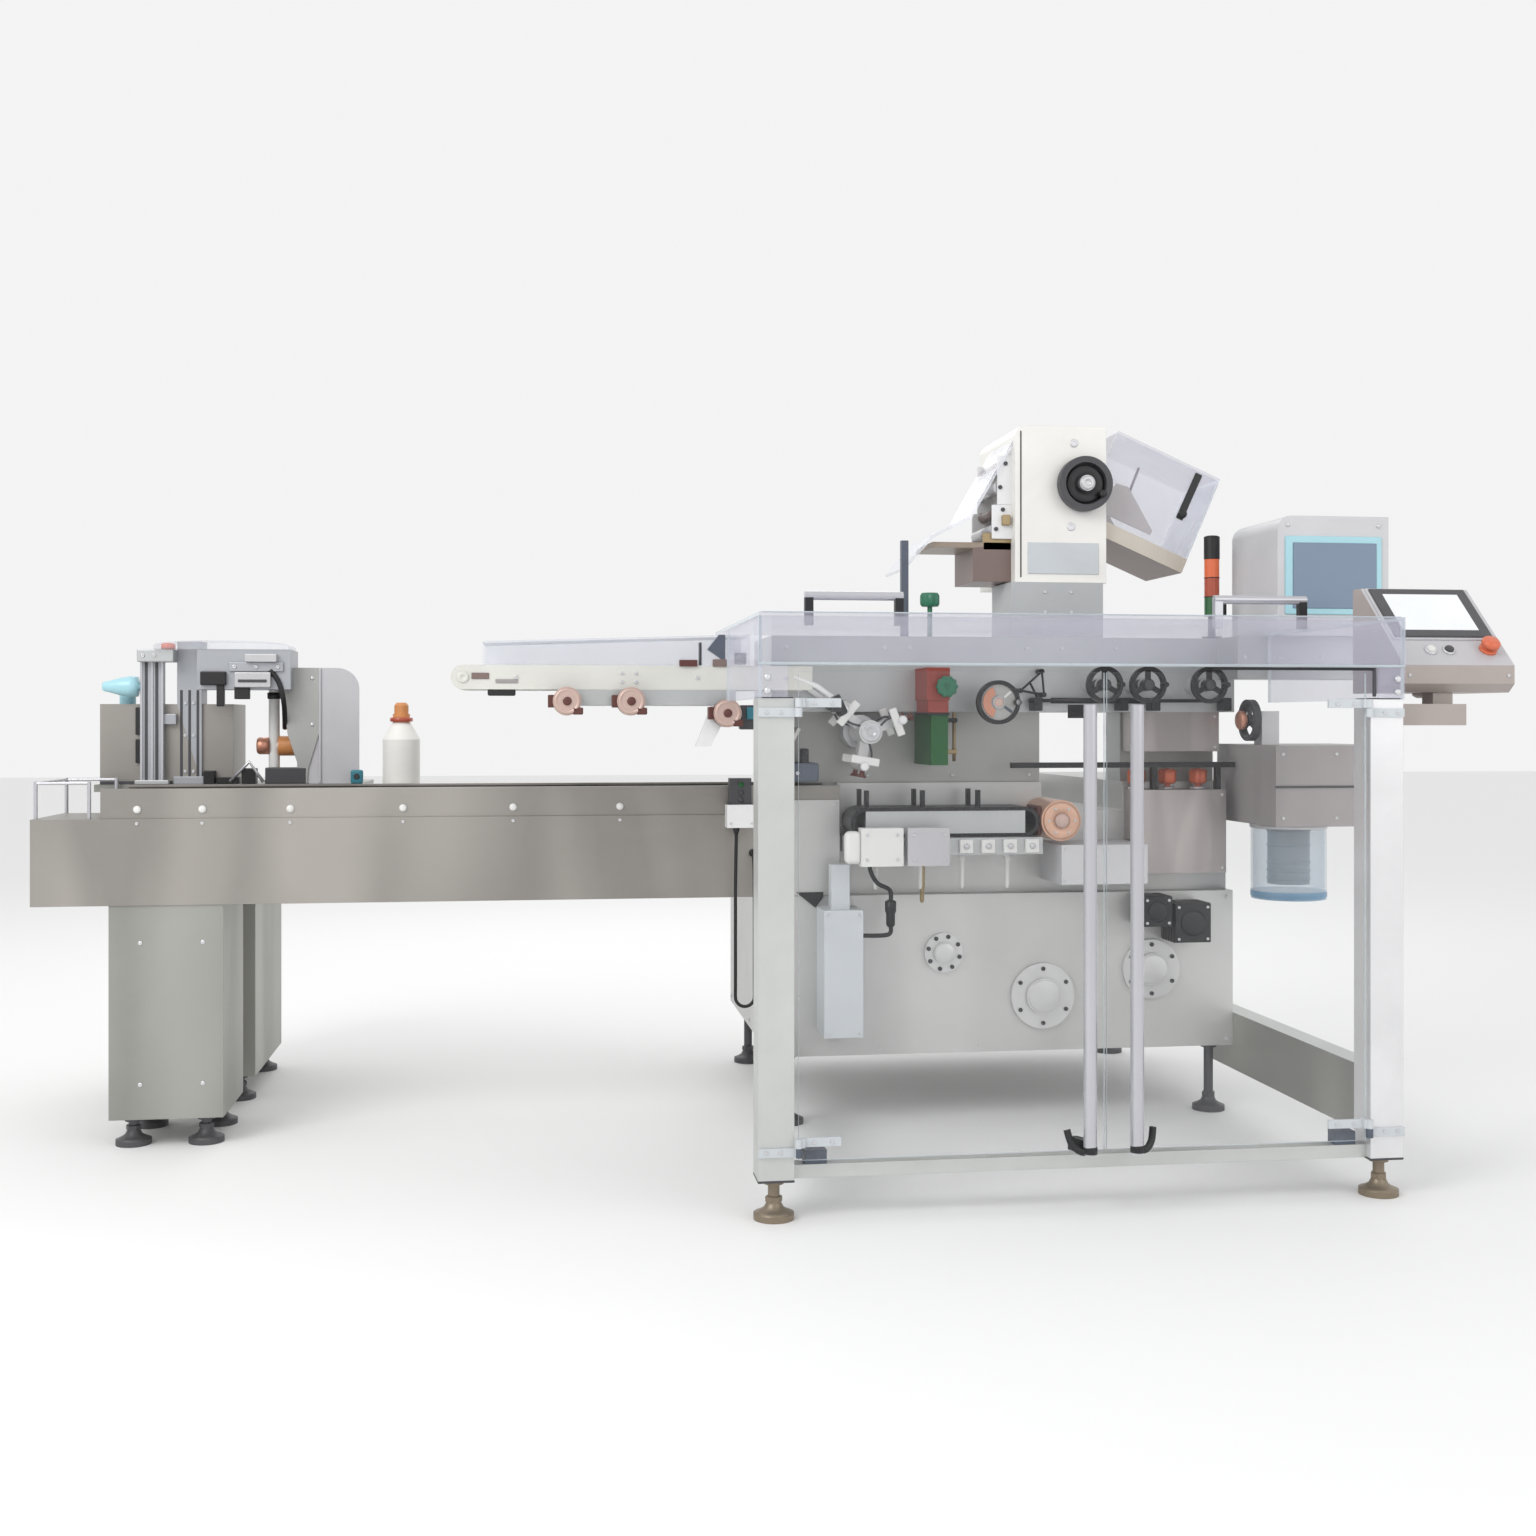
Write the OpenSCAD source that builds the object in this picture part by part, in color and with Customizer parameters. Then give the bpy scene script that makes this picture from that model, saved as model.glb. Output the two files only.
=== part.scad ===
// Automatic cartoner with a flighted infeed, an overhead blank magazine,
// a rotary carton feeder, a clear guard with two doors and a leaflet folder.
// X runs along the line to the right, Y to the back and Z up, in millimetres.
// The origin lies on the floor in the middle of the machine.

/* [Main body] */
// left end of the base cabinet
body_x = 120; // [0:1:250]
// width of the base cabinet
body_w = 1310; // [1290:1:1340]
// front face of the base cabinet
body_y = -50; // [-70:1:-30]
// depth of the base cabinet
body_d = 950; // [800:1:1000]
// gap from the floor to the cabinet
plinth_h = 190; // [150:1:220]
// height of the base cabinet
base_h = 435; // [400:1:470]
// height of the upper body on the cabinet
deck_h = 305; // [280:1:330]
// width of the dip in the upper body under the see-through window
dip_w = 235; // [200:1:240]
// depth of the dip
dip_h = 80; // [40:1:100]
// step back of the upper body from the cabinet front
deck_step = 50; // [40:1:60]
// step back of the upper wall from the upper body front
wall_step = 20; // [10:1:30]
// thickness of the upper wall
wall_t = 60; // [40:1:80]
// height of the upper wall
wall_h = 195; // [180:1:220]
// depth of the closed housing behind the upper wall
pusher_d = 420; // [300:1:480]
// overhang of the top beam in front of the upper body
beam_over = 60; // [50:1:70]
// depth of the top beam
beam_d = 360; // [320:1:420]
// height of the top beam
beam_h = 206; // [190:1:230]
// depth of the column behind the closing station
column_d = 120; // [80:1:160]
// reach of the side shelf past the cabinet
shelf_reach = 340; // [250:1:355]
// depth of the side shelf
shelf_d = 140; // [120:1:145]
// thickness of the side shelf
shelf_h = 116; // [80:1:140]
// diameter of a levelling pad
pad_d = 90; // [60:1:100]
// diameter of a levelling screw
screw_d = 26; // [16:1:40]

/* [Infeed line] */
// left end of the infeed
infeed_x = -1789; // [-1900:1:-1750]
// gap between the end of the skirt and the start of the side rails
tail_gap = 171; // [120:1:200]
// reach of the infeed onto the cabinet
infeed_lap = 190; // [150:1:220]
// width of the infeed
infeed_w = 320; // [300:1:360]
// height of the skirt
skirt_h = 223; // [180:1:260]
// height of the side rails over the skirt
rail_h = 77; // [60:1:90]
// thickness of the side rails
rail_t = 6; // [4:1:8]
// width of the inward lip of the side rails
rail_lip = 24; // [15:1:35]
// inset of the side rails from the skirt faces
rail_set = 4; // [2:1:8]
// height of the chain loop
chain_h = 48; // [40:1:56]
// thickness of the chain
chain_t = 8; // [6:1:12]
// width of the chain
chain_w = 236; // [200:1:244]
// pitch of the chain flights
flight_pitch = 95.3; // [80:0.1:130]
// height of a flight over the chain
flight_h = 14; // [8:1:20]
// thickness of a flight
flight_t = 8; // [5:1:12]
// rod of the tail rail
rod_d = 10; // [8:1:14]
// height of the tail rail over the skirt
tail_h = 92; // [70:1:110]

/* [Pedestals and feeder] */
// left side of the front pedestal
ped_x = -1598; // [-1640:1:-1560]
// width of the pedestals
ped_w = 285; // [250:1:300]
// gap from the floor to the pedestals
ped_lift = 73; // [60:1:90]
// depth of the front pedestal
ped_front_d = 305; // [280:1:315]
// depth of the rear pedestal
ped_rear_d = 515; // [400:1:560]
// gap between the two pedestals
ped_gap = 210; // [180:1:240]
// left end of the feeder table
table_x = -1712; // [-1760:1:-1700]
// length of the feeder table
table_l = 720; // [700:1:800]
// depth of the feeder table
table_d = 345; // [320:1:380]
// thickness of the feeder table
table_t = 20; // [14:1:26]
// width of the feeder housing
hopper_w = 205; // [180:1:220]
// depth of the feeder housing
hopper_d = 250; // [200:1:290]
// height of the feeder housing
hopper_h = 222; // [190:1:250]
// width of the feeder column
mast_w = 66; // [50:1:72]
// height of the feeder column
mast_h = 396; // [360:1:420]
// width of the small housing beside the column
side_w = 84; // [60:1:90]
// height of the bridge arm
bridge_h = 110; // [80:1:130]
// gap between the bridge arm and the shield
bridge_gap = 9; // [6:1:20]
// diameter of the feeder motor
fmotor_d = 56; // [40:1:64]
// length of the feeder motor
fmotor_l = 44; // [30:1:50]
// width of the bent shield
shield_w = 170; // [150:1:185]
// height of the bent shield
shield_h = 324; // [280:1:350]
// sheet of the bent shield
shield_t = 5; // [3:1:8]
// depth of the side flange of the shield
shield_d = 220; // [160:1:260]
// corner radius of the shield
shield_r = 60; // [30:1:80]
// middle of the call post
call_x = -888; // [-920:1:-860]
// diameter of the call post
call_d = 104; // [80:1:120]
// diameter of the call button
button_d = 40; // [30:1:50]

/* [Blank magazine] */
// left end of the magazine rails
mag_x = -724; // [-780:1:-700]
// reach of the rear rail along the top beam
mag_lap = 80; // [60:1:100]
// clear width between the rails
mag_w = 160; // [140:1:175]
// thickness of the rails
mag_t = 15; // [10:1:20]
// height of the rails
mag_h = 62; // [56:1:70]
// underside of the rails over the underside of the top beam
mag_z = 55; // [45:1:60]
// width of the magazine belt
mbelt_w = 100; // [80:1:130]
// thickness of the magazine belt
mbelt_t = 6; // [4:1:8]
// gap from the belt to the rail edges, top and bottom
mbelt_gap = 4; // [3:1:8]
// start of the clear hood from the left end of the rails
hood_x = 80; // [60:1:120]
// length of the clear hood
hood_l = 680; // [600:1:720]
// height of the hood at its left end
hood_h0 = 60; // [50:1:70]
// height of the hood at its right end
hood_h1 = 82; // [60:1:86]
// sheet of the hood
hood_t = 5; // [4:1:8]
// length of the beam under the magazine
mbeam_l = 450; // [400:1:480]
// start of that beam from the left end of the rails
mbeam_x = 274; // [240:1:300]
// height of that beam
mbeam_h = 40; // [30:1:46]
// diameter of the magazine motors
mmotor_d = 72; // [60:1:80]
// length of the magazine motors
mmotor_l = 52; // [40:1:60]

/* [Carton feeder and transport] */
// rotor axis from the left end of the cabinet
rotor_x = 242; // [236:1:260]
// rotor axis under the top beam
rotor_drop = 54; // [50:1:60]
// radius of the suction bars
rotor_r = 92; // [85:1:98]
// length of the suction bars
rotor_l = 146; // [130:1:160]
// diameter of the suction bars
bar_d = 24; // [18:1:28]
// reach of a suction cup past its bar
cup_l = 18; // [12:1:22]
// diameter of a suction cup
cup_d = 28; // [20:1:34]
// diameter of the rotor hub
hub_d = 62; // [50:1:70]
// diameter of the rotor shaft
shaft_d = 30; // [24:1:36]
// diameter of the rotor bearing
bearing_d = 92; // [80:1:98]
// running gap between turning and fixed faces
run_gap = 6; // [5:0.5:8]
// radial clearance of a shaft in its bore
run_fit = 0.08; // [0.05:0.01:0.1]
// gap between the infeed and the transport bed
bed_gap = 5; // [3:1:15]
// gap between the transport bed and the dip
bed_end = 60; // [58:1:90]
// depth of the transport bed
bed_d = 210; // [190:1:230]
// thickness of the transport bed
bed_t = 45; // [35:1:55]
// underside of the bed over the cabinet
bed_z = 120; // [110:1:130]
// height of the transport chain loop
tchain_h = 80; // [70:1:90]
// thickness of the transport chain
tchain_t = 10; // [8:1:12]
// width of the transport chain
tchain_w = 140; // [120:1:150]
// width of a guide block
block_w = 112; // [90:1:120]
// height of a guide block
block_h = 100; // [80:1:110]
// depth of a guide block
block_d = 42; // [30:1:50]
// gap between guide blocks
block_gap = 12; // [6:1:20]
// left side of the blank gate from the left end of the cabinet
gate_x = 396; // [392:1:410]
// width of the blank gate
gate_w = 62; // [50:1:70]
// reach of the blank gate in front of the top beam
gate_d = 140; // [120:1:150]

/* [Closing station and drives] */
// distance from the closing panels to the right end of the cabinet
close_end = 45; // [35:1:55]
// width of the closing panels
close_w = 255; // [240:1:260]
// height of the upper closing panel
close_h1 = 110; // [90:1:120]
// height of the lower closing panel
close_h0 = 230; // [200:1:240]
// underside of the lower closing panel over the cabinet
close_z = 55; // [45:1:60]
// reach of the lower closing panel in front of the upper body
close_d = 110; // [90:1:130]
// diameter of a clamp knob
knob_d = 42; // [34:1:50]
// height of a clamp knob
knob_h = 30; // [24:1:34]
// length of a clamp knob stem
stem_h = 25; // [20:1:28]
// first clamp knob from the left side of the closing panels
knob_x = 22; // [21:1:30]
// step between clamp knobs
knob_step = 90; // [70:1:94]
// clamp knobs behind the front of the lower closing panel
knob_y = 70; // [50:1:80]
// length of the dark guide rail
guide_l = 640; // [600:1:660]
// height of the dark guide rail
guide_h = 15; // [12:1:18]
// depth of the dark guide rail
guide_d = 20; // [16:1:24]
// width of the gear box
gear_w = 240; // [200:1:242]
// height of the gear box
gear_h = 106; // [90:1:108]
// reach of the gear box in front of the upper body
gear_d = 200; // [160:1:220]
// diameter of the press motor
press_d = 110; // [90:1:112]
// length of the press motor
press_l = 180; // [150:1:200]
// diameters of the three bearing covers
cover_d = [108, 180, 165]; // [80:1:200]
// thickness of a bearing cover
cover_t = 12; // [8:1:16]
// first two bearing covers from the left end of the cabinet
cover_x = [476, 756]; // [460:1:770]
// third bearing cover from the left side of the closing panels
cover_x3 = 58; // [54:1:66]
// centres of the three bearing covers under the top of the cabinet
cover_z = [159, 283, 215]; // [150:1:290]
// width of the drive cover
dcover_w = 105; // [90:1:120]
// height of the drive cover
dcover_h = 338; // [300:1:345]
// reach of the drive cover in front of the cabinet
dcover_d = 120; // [100:1:140]
// width of the post on the drive cover
dpost_w = 50; // [40:1:60]

/* [Handwheels] */
// diameter of a small handwheel
wheel_d = 100; // [80:1:106]
// diameter of the ring handwheel
ring_d = 118; // [100:1:124]
// gap between the blank gate and the ring handwheel
ring_gap = 78; // [60:1:90]
// diameter of the side handwheel
swheel_d = 114; // [100:1:118]
// width of a handwheel rim
rim_w = 11; // [8:1:14]
// thickness of a handwheel rim
rim_t = 20; // [14:1:24]
// diameter of a handwheel hub
whub_d = 32; // [26:1:36]
// diameter of a handwheel spindle
spindle_d = 18; // [14:1:20]
// diameter of a spindle bush
bush_d = 50; // [40:1:56]
// length of a spindle bush
bush_l = 50; // [40:1:56]
// reach of a handwheel hub in front of its bush
whub_l = 74; // [64:1:80]
// height of the small handwheels over the underside of the top beam
wheel_z = 73; // [65:1:90]

/* [Discharge] */
// length of the discharge box
out_l = 340; // [300:1:355]
// depth of the discharge box
out_d = 390; // [340:1:420]
// height of the discharge box
out_h = 216; // [200:1:230]
// reach of the discharge box behind the upper body front
out_lap = 60; // [40:1:80]
// underside of the discharge box under the top of the upper body
out_drop = 111; // [95:1:120]
// diameter of the clear bowl
bowl_d = 200; // [160:1:220]
// height of the clear bowl
bowl_h = 203; // [160:1:220]
// wall of the clear bowl
bowl_t = 6; // [4:1:8]
// diameter of the motor in the bowl
core_d = 112; // [90:1:120]
// gap between the motor and the floor of the bowl
core_gap = 34; // [20:1:50]

/* [Guard] */
// outer left side of the guard
guard_x = -31; // [-60:1:-20]
// reach of the guard past the right end of the cabinet
guard_over = 40; // [30:1:50]
// front face of the guard posts
guard_y = -920; // [-960:1:-880]
// width and depth of a guard post
post_w = 80; // [60:1:90]
// underside of the guard posts
post_z = 90; // [70:1:110]
// top of the guard posts
post_top = 1150; // [1130:1:1160]
// sheet of the clear guard
sheet_t = 8; // [6:1:10]
// drop of the canopy front
canopy_drop = 116; // [100:1:118]
// width of the base beams
sbeam_w = 60; // [40:1:70]
// height of the base beams
sbeam_h = 159; // [120:1:170]
// underside of the base beams
sbeam_z = 123; // [122:1:130]
// reach of the base beams along the cabinet
sbeam_lap = 150; // [100:1:200]
// height of the front sill
sill_h = 30; // [20:1:31]
// depth of the front sill
sill_d = 40; // [30:1:50]
// gap between a door and a post
door_gap = 10; // [8:1:14]
// gap between the two doors
meet_gap = 6; // [5:1:10]
// underside of the doors
door_z = 135; // [128:1:150]
// gap between the doors and the canopy front
door_top_gap = 14; // [8:1:20]
// recess of the doors behind the front of the posts
door_set = 2; // [2:1:6]
// radius of a hinge knuckle
knuckle_r = 8; // [7:0.5:8]
// height of a hinge knuckle
knuckle_h = 20; // [16:1:24]
// diameter of a hinge pin
pin_d = 8; // [6:0.5:9]
// gap between the knuckles of a hinge
knuckle_gap = 1; // [0.5:0.5:2]
// length of a hinge strap on its door
strap_l = 96; // [70:1:110]
// thickness of hinge plates and straps
strap_t = 6; // [4:1:6]
// distance from the meeting edge to a door handle
handle_set = 54; // [45:1:60]
// distance of the meeting edges to the right of the middle
meet_shift = 39; // [0:1:60]
// diameter of the handle tubes
tube_d = 30; // [24:1:34]
// length of a door handle
handle_l = 997; // [900:1:1000]
// drop of the handle below the middle of the door
handle_drop = 34; // [0:1:36]
// stand-off of a door handle from its door
handle_off = 52; // [45:1:60]
// height of a handle bracket
elbow_h = 30; // [24:1:34]
// sideways slant of a handle bracket
elbow_lean = 24; // [0:1:30]
// length of a canopy handle
grip_l = 250; // [200:1:280]
// height of a canopy handle over the canopy
grip_h = 74; // [60:1:90]
// distance of the canopy handles behind the posts
grip_y = 420; // [300:1:500]

/* [Operator stations] */
// width of the operator console
hmi_w = 280; // [250:1:285]
// depth of the operator console
hmi_d = 250; // [220:1:270]
// height of the console front edge
hmi_h0 = 64; // [50:1:80]
// height of the console back
hmi_h1 = 259; // [240:1:280]
// depth of the flat top of the console
hmi_flat = 40; // [30:1:60]
// gap from the guard to the console
hmi_gap = 39; // [30:1:45]
// gap from the post top to the console
hmi_lift = 18; // [12:1:30]
// thickness of the console arm
arm_t = 50; // [40:1:60]
// depth of the control box
box_d = 300; // [250:1:330]
// height of the control box
box_h = 324; // [300:1:360]
// corner radius of the control box
box_r = 40; // [20:1:60]
// diameter of the tower light
tower_d = 42; // [36:1:50]
// height of one tower light lens
lens_h = 53; // [45:1:60]
// height of the pole under the tower light
pole_h = 66; // [50:1:80]

/* [Leaflet folder] */
// left side of the folder head from the left end of the cabinet
fold_x = 723; // [700:1:740]
// width of the folder head
fold_w = 270; // [250:1:290]
// depth of the folder head
fold_d = 380; // [340:1:420]
// height of the folder head
fold_h = 449; // [420:1:480]
// height of the folder stand
stand_h = 164; // [150:1:180]
// depth of the folder stand
stand_d = 200; // [160:1:204]
// front of the folder from the front of the top beam
fold_y = 160; // [150:1:160]
// diameter of the folder handwheel
fwheel_d = 156; // [140:1:170]
// folder handwheel from the right side of the head
fwheel_x = 72; // [66:1:90]
// folder handwheel under the top of the head
fwheel_z = 168; // [150:1:190]
// slope of the leaflet tray in degrees
tray_a = 23.4; // [15:0.1:30]
// length of the leaflet tray
tray_l = 278; // [240:1:300]
// depth of the leaflet tray
tray_d = 290; // [250:1:300]
// thickness of the leaflet tray
tray_t = 44; // [30:1:50]
// start of the leaflet tray over the underside of the head
tray_z = 186; // [160:1:190]
// height of the clear tray cover
tcover_h = 256; // [220:1:262]
// sheet of the clear tray cover
tcover_t = 6; // [4:1:8]
// depth of the delivery guard
deliv_d = 250; // [200:1:270]
// sheet of the delivery guard
deliv_t = 8; // [6:1:10]
// bends of the delivery guard, left of the head
deliv_reach = [127, 240, 322]; // [110:1:330]
// bends of the delivery guard, under the top of the head
deliv_drop = [258, 318, 410]; // [250:1:412]
// width of the delivery post
dstem_w = 20; // [16:1:24]
// left side of the delivery post, left of the head
dstem_x = 330; // [326:1:334]
// top of the delivery shelf under the top of the head
dshelf_drop = 332; // [330:1:336]

/* [Pendant] */
// left side of the pendant holder
pend_x = -6; // [-20:1:10]
// width of the pendant holder
hold_w = 76; // [60:1:90]
// depth of the pendant holder
hold_d = 56; // [50:1:70]
// height of the pendant holder
hold_h = 62; // [50:1:70]
// height of the handset over its holder
pend_h = 70; // [60:1:90]
// diameter of the pendant cord
cord_d = 9; // [7:0.5:10]

/* [Hidden] */
$fn = 48;

body_x1 = body_x + body_w;
base_z = plinth_h + base_h;
deck_z = base_z + deck_h;
deck_y = body_y + deck_step;
wall_y = deck_y + wall_step;
beam_z = deck_z + wall_h;
beam_top = beam_z + beam_h;
beam_y = deck_y - beam_over;
infeed_x1 = body_x + infeed_lap;
infeed_y = body_y;
infeed_y1 = infeed_y + infeed_w;
skirt_top = base_z + skirt_h;
rail_top = skirt_top + rail_h;
rail_x = infeed_x + tail_gap;
chain_x0 = rail_x + 18;
chain_x1 = infeed_x1 - 10;
chain_y = infeed_y + (infeed_w - chain_w) / 2;
close_x0 = body_x1 - close_end - close_w;
dip_x = close_x0 - 5 - dip_w;
close_y = deck_y - close_d;
close_top = base_z + close_z + close_h0;
rot_x = body_x + rotor_x;
rot_z = beam_z - rotor_drop;
rot_y1 = beam_y - run_gap;
guard_x1 = body_x1 + guard_over;
canopy_z = beam_top;
canopy_bottom = canopy_z + sheet_t - canopy_drop;
post_xr = guard_x1 - post_w;
post_y1 = guard_y + post_w;
door_y = guard_y + door_set;
door_top = canopy_bottom - door_top_gap;
door_h = door_top - door_z;
hinge_y = guard_y - strap_t - 5;
hinge_xl = guard_x + post_w + 8;
hinge_xr = post_xr - 8;
door_xl = guard_x + post_w + door_gap;
door_xr = post_xr - door_gap;
door_mid = (door_xl + door_xr) / 2 + meet_shift;
hinge_top_z = post_top - 2 * knuckle_h - knuckle_gap;
hinge_low_z = door_z + 10;
deck_x0 = infeed_x1;
out_x = body_x1;
out_y = deck_y + out_lap - out_d;
out_z = deck_z - out_drop;
table_y = infeed_y1 + 5;
table_z = rail_top - table_t;
bridge_l = table_l - shield_w - hopper_w - mast_w - 20 - bridge_gap;
mag_z0 = beam_z + mag_z;
mag_y1 = beam_y;
mag_y0 = mag_y1 - mag_w - 2 * mag_t;
mag_x1 = body_x + mag_lap;
bed_x0 = infeed_x1 + bed_gap;
bed_l = dip_x - bed_end - bed_x0;
bed_z0 = base_z + bed_z;
bed_top = bed_z0 + bed_t;
fold_x0 = body_x + fold_x;
fold_x1 = fold_x0 + fold_w;
fold_y0 = beam_y + fold_y;
fold_z0 = beam_top + stand_h;
fold_z1 = fold_z0 + fold_h;
hmi_x = guard_x1 + hmi_gap;
hmi_y = guard_y + post_w - 10;
hmi_z = post_top + hmi_lift;
shelf_x0 = body_x1 - 50;
shelf_x1 = body_x1 + shelf_reach;

// box from two corners
module block(a, b) {
    translate(a) cube(b - a);
}

// cylinder along Y, from its front centre towards the back
module ycyl(p, d, l) {
    translate(p) rotate([-90, 0, 0]) cylinder(h = l, d = d);
}

// closed band around two end drums, in the XZ plane, as wide as w along Y
module band(x0, x1, z0, h, t, y0, w) {
    translate([0, y0 + w, 0]) rotate([90, 0, 0]) linear_extrude(w) difference() {
        racetrack(x0, x1, z0, h);
        racetrack(x0 + t, x1 - t, z0 + t, h - 2 * t);
    }
}

// flat shape with half-round ends
module racetrack(x0, x1, z0, h) {
    translate([x0 + h / 2, z0 + h / 2]) circle(h / 2);
    translate([x1 - h / 2, z0 + h / 2]) circle(h / 2);
    translate([x0 + h / 2, z0]) square([x1 - x0 - h, h]);
}

// flat shape in XZ pulled along Y from y0 by w
module pull(y0, w) {
    translate([0, y0 + w, 0]) rotate([90, 0, 0]) linear_extrude(w) children();
}

module base_cabinet() {
    color([0.70, 0.69, 0.67])
        block([body_x, body_y, plinth_h], [body_x1, body_y + body_d, base_z]);
}

module upper_body() {
    color([0.67, 0.67, 0.66]) difference() {
        block([deck_x0, deck_y, base_z], [body_x1, body_y + body_d, deck_z]);
        block([dip_x, deck_y - 1, deck_z - dip_h], [dip_x + dip_w, body_y + body_d + 1, deck_z + 1]);
    }
}

module upper_frame() {
    color([0.72, 0.73, 0.73]) union() {
        block([body_x, wall_y, deck_z], [dip_x, wall_y + wall_t, beam_z]);
        block([deck_x0, wall_y + wall_t, deck_z], [dip_x, wall_y + wall_t + pusher_d, beam_z]);
        block([dip_x + dip_w, wall_y, deck_z], [body_x1 - 30, wall_y + column_d, beam_z]);
        block([body_x, beam_y, beam_z], [body_x1, beam_y + beam_d, beam_top]);
        block([shelf_x0, beam_y - shelf_d, beam_top - shelf_h], [shelf_x1, beam_y, beam_top]);
    }
}

// pad and screw under a given height
module foot(x, y, h) {
    translate([x, y, 0]) {
        cylinder(h = 14, d = pad_d);
        cylinder(h = h, d = screw_d);
        translate([0, 0, h - 12]) cylinder(h = 12, d = screw_d * 1.7);
    }
}

module levelling_feet() {
    inset = pad_d / 2 + 6;
    ped_y = [infeed_y + 5, infeed_y + 5 + ped_front_d + ped_gap];
    ped_d = [ped_front_d, ped_rear_d];
    color([0.32, 0.32, 0.33]) {
        for (i = [0, 1], x = [ped_x + inset, ped_x + ped_w - inset], e = [0, 1])
            foot(x, ped_y[i] + inset + e * (ped_d[i] - 2 * inset), ped_lift);
        for (x = [body_x + inset, body_x1 - inset], y = [body_y + inset, body_y + body_d - inset])
            foot(x, y, plinth_h);
        for (x = [guard_x + post_w / 2, guard_x1 - post_w / 2])
            foot(x, guard_y + post_w / 2, post_z);
    }
}

module infeed_skirt() {
    color([0.71, 0.70, 0.68]) {
        block([infeed_x, infeed_y, base_z], [infeed_x1, infeed_y1, skirt_top]);
        block([chain_x0 + chain_h / 2, chain_y, skirt_top + chain_t],
            [chain_x1 - chain_h / 2, chain_y + chain_w, skirt_top + chain_h - chain_t]);
    }
}

// side rail with an inward lip; s is 1 at the front and -1 at the back
module side_rail(y, s) {
    translate([rail_x, y, skirt_top]) rotate([90, 0, 90]) linear_extrude(infeed_x1 - rail_x) union() {
        translate([s > 0 ? 0 : -rail_t, 0]) square([rail_t, rail_h]);
        translate([s > 0 ? 0 : -rail_lip, rail_h - rail_t]) square([rail_lip, rail_t]);
    }
}

module infeed_rails() {
    color([0.72, 0.71, 0.68]) {
        side_rail(infeed_y + rail_set, 1);
        side_rail(infeed_y1 - rail_set, -1);
    }
}

module infeed_chain() {
    count = floor((chain_x1 - chain_x0 - chain_h) / flight_pitch);
    color([0.30, 0.30, 0.31]) union() {
        band(chain_x0, chain_x1, skirt_top, chain_h, chain_t, chain_y, chain_w);
        for (i = [0 : count])
            translate([chain_x0 + chain_h / 2 + i * flight_pitch, chain_y, skirt_top + chain_h - 1])
                cube([flight_t, chain_w, flight_h + 1]);
    }
}

module end_rail() {
    y0 = infeed_y + rail_set + rod_d;
    y1 = infeed_y1 - rail_set - rod_d;
    x0 = infeed_x + rod_d;
    z1 = skirt_top + tail_h;
    bar_d = rod_d - 2;
    color([0.80, 0.80, 0.79]) union() {
        for (y = [y0, y1]) {
            for (x = [x0, rail_x - 30])
                translate([x, y, skirt_top]) cylinder(h = tail_h + rod_d / 2, d = rod_d);
            translate([x0, y, z1]) rotate([0, 90, 0]) cylinder(h = rail_x - 30 - x0, d = bar_d);
        }
        ycyl([x0, y0, z1], bar_d, y1 - y0);
    }
}

module pedestals() {
    y2 = infeed_y + 5 + ped_front_d + ped_gap;
    color([0.68, 0.67, 0.65]) {
        block([ped_x, infeed_y + 5, ped_lift], [ped_x + ped_w, infeed_y + 5 + ped_front_d, base_z]);
        block([ped_x, y2, ped_lift], [ped_x + ped_w, y2 + ped_rear_d, base_z]);
    }
}

module feeder_stand() {
    y2 = infeed_y + 5 + ped_front_d + ped_gap + ped_rear_d;
    color([0.69, 0.68, 0.66]) union() {
        block([ped_x, infeed_y1, base_z], [ped_x + ped_w, y2, skirt_top]);
        block([ped_x + 10, table_y + 10, skirt_top], [ped_x + ped_w - 10, table_y + table_d - 10, table_z]);
        block([table_x, table_y, table_z], [table_x + table_l, table_y + table_d, rail_top]);
    }
}

module feeder_frame() {
    x0 = table_x + 10;
    x1 = x0 + hopper_w;
    x2 = x1 + mast_w;
    y0 = table_y + 25;
    z0 = rail_top;
    tube_x = x2 + bridge_l - 60;
    color([0.66, 0.67, 0.69]) union() {
        block([x0, y0, z0], [x1, y0 + hopper_d, z0 + hopper_h]);
        block([x1, y0, z0], [x2, y0 + 80, z0 + mast_h]);
        block([x2, y0 + 10, z0], [x2 + side_w, y0 + hopper_d - 40, z0 + hopper_h]);
        block([x2, y0 - 70, z0 + mast_h - bridge_h - 24], [x2 + bridge_l, y0 + 80, z0 + mast_h - 24]);
        translate([tube_x, y0 + 40, z0]) cylinder(h = mast_h - bridge_h - 20, d = 30);
        translate([tube_x, y0 + 40, z0 + 105]) rotate([0, 90, 0]) cylinder(h = 14 + fmotor_l, d = fmotor_d * 0.5);
        translate([tube_x + 14, y0 + 40, z0 + 105]) rotate([0, 90, 0]) cylinder(h = fmotor_l, d = fmotor_d);
        translate([x0 + 60, y0 + 60, z0 + hopper_h]) cylinder(h = 50, d = 44);
    }
}

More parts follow.
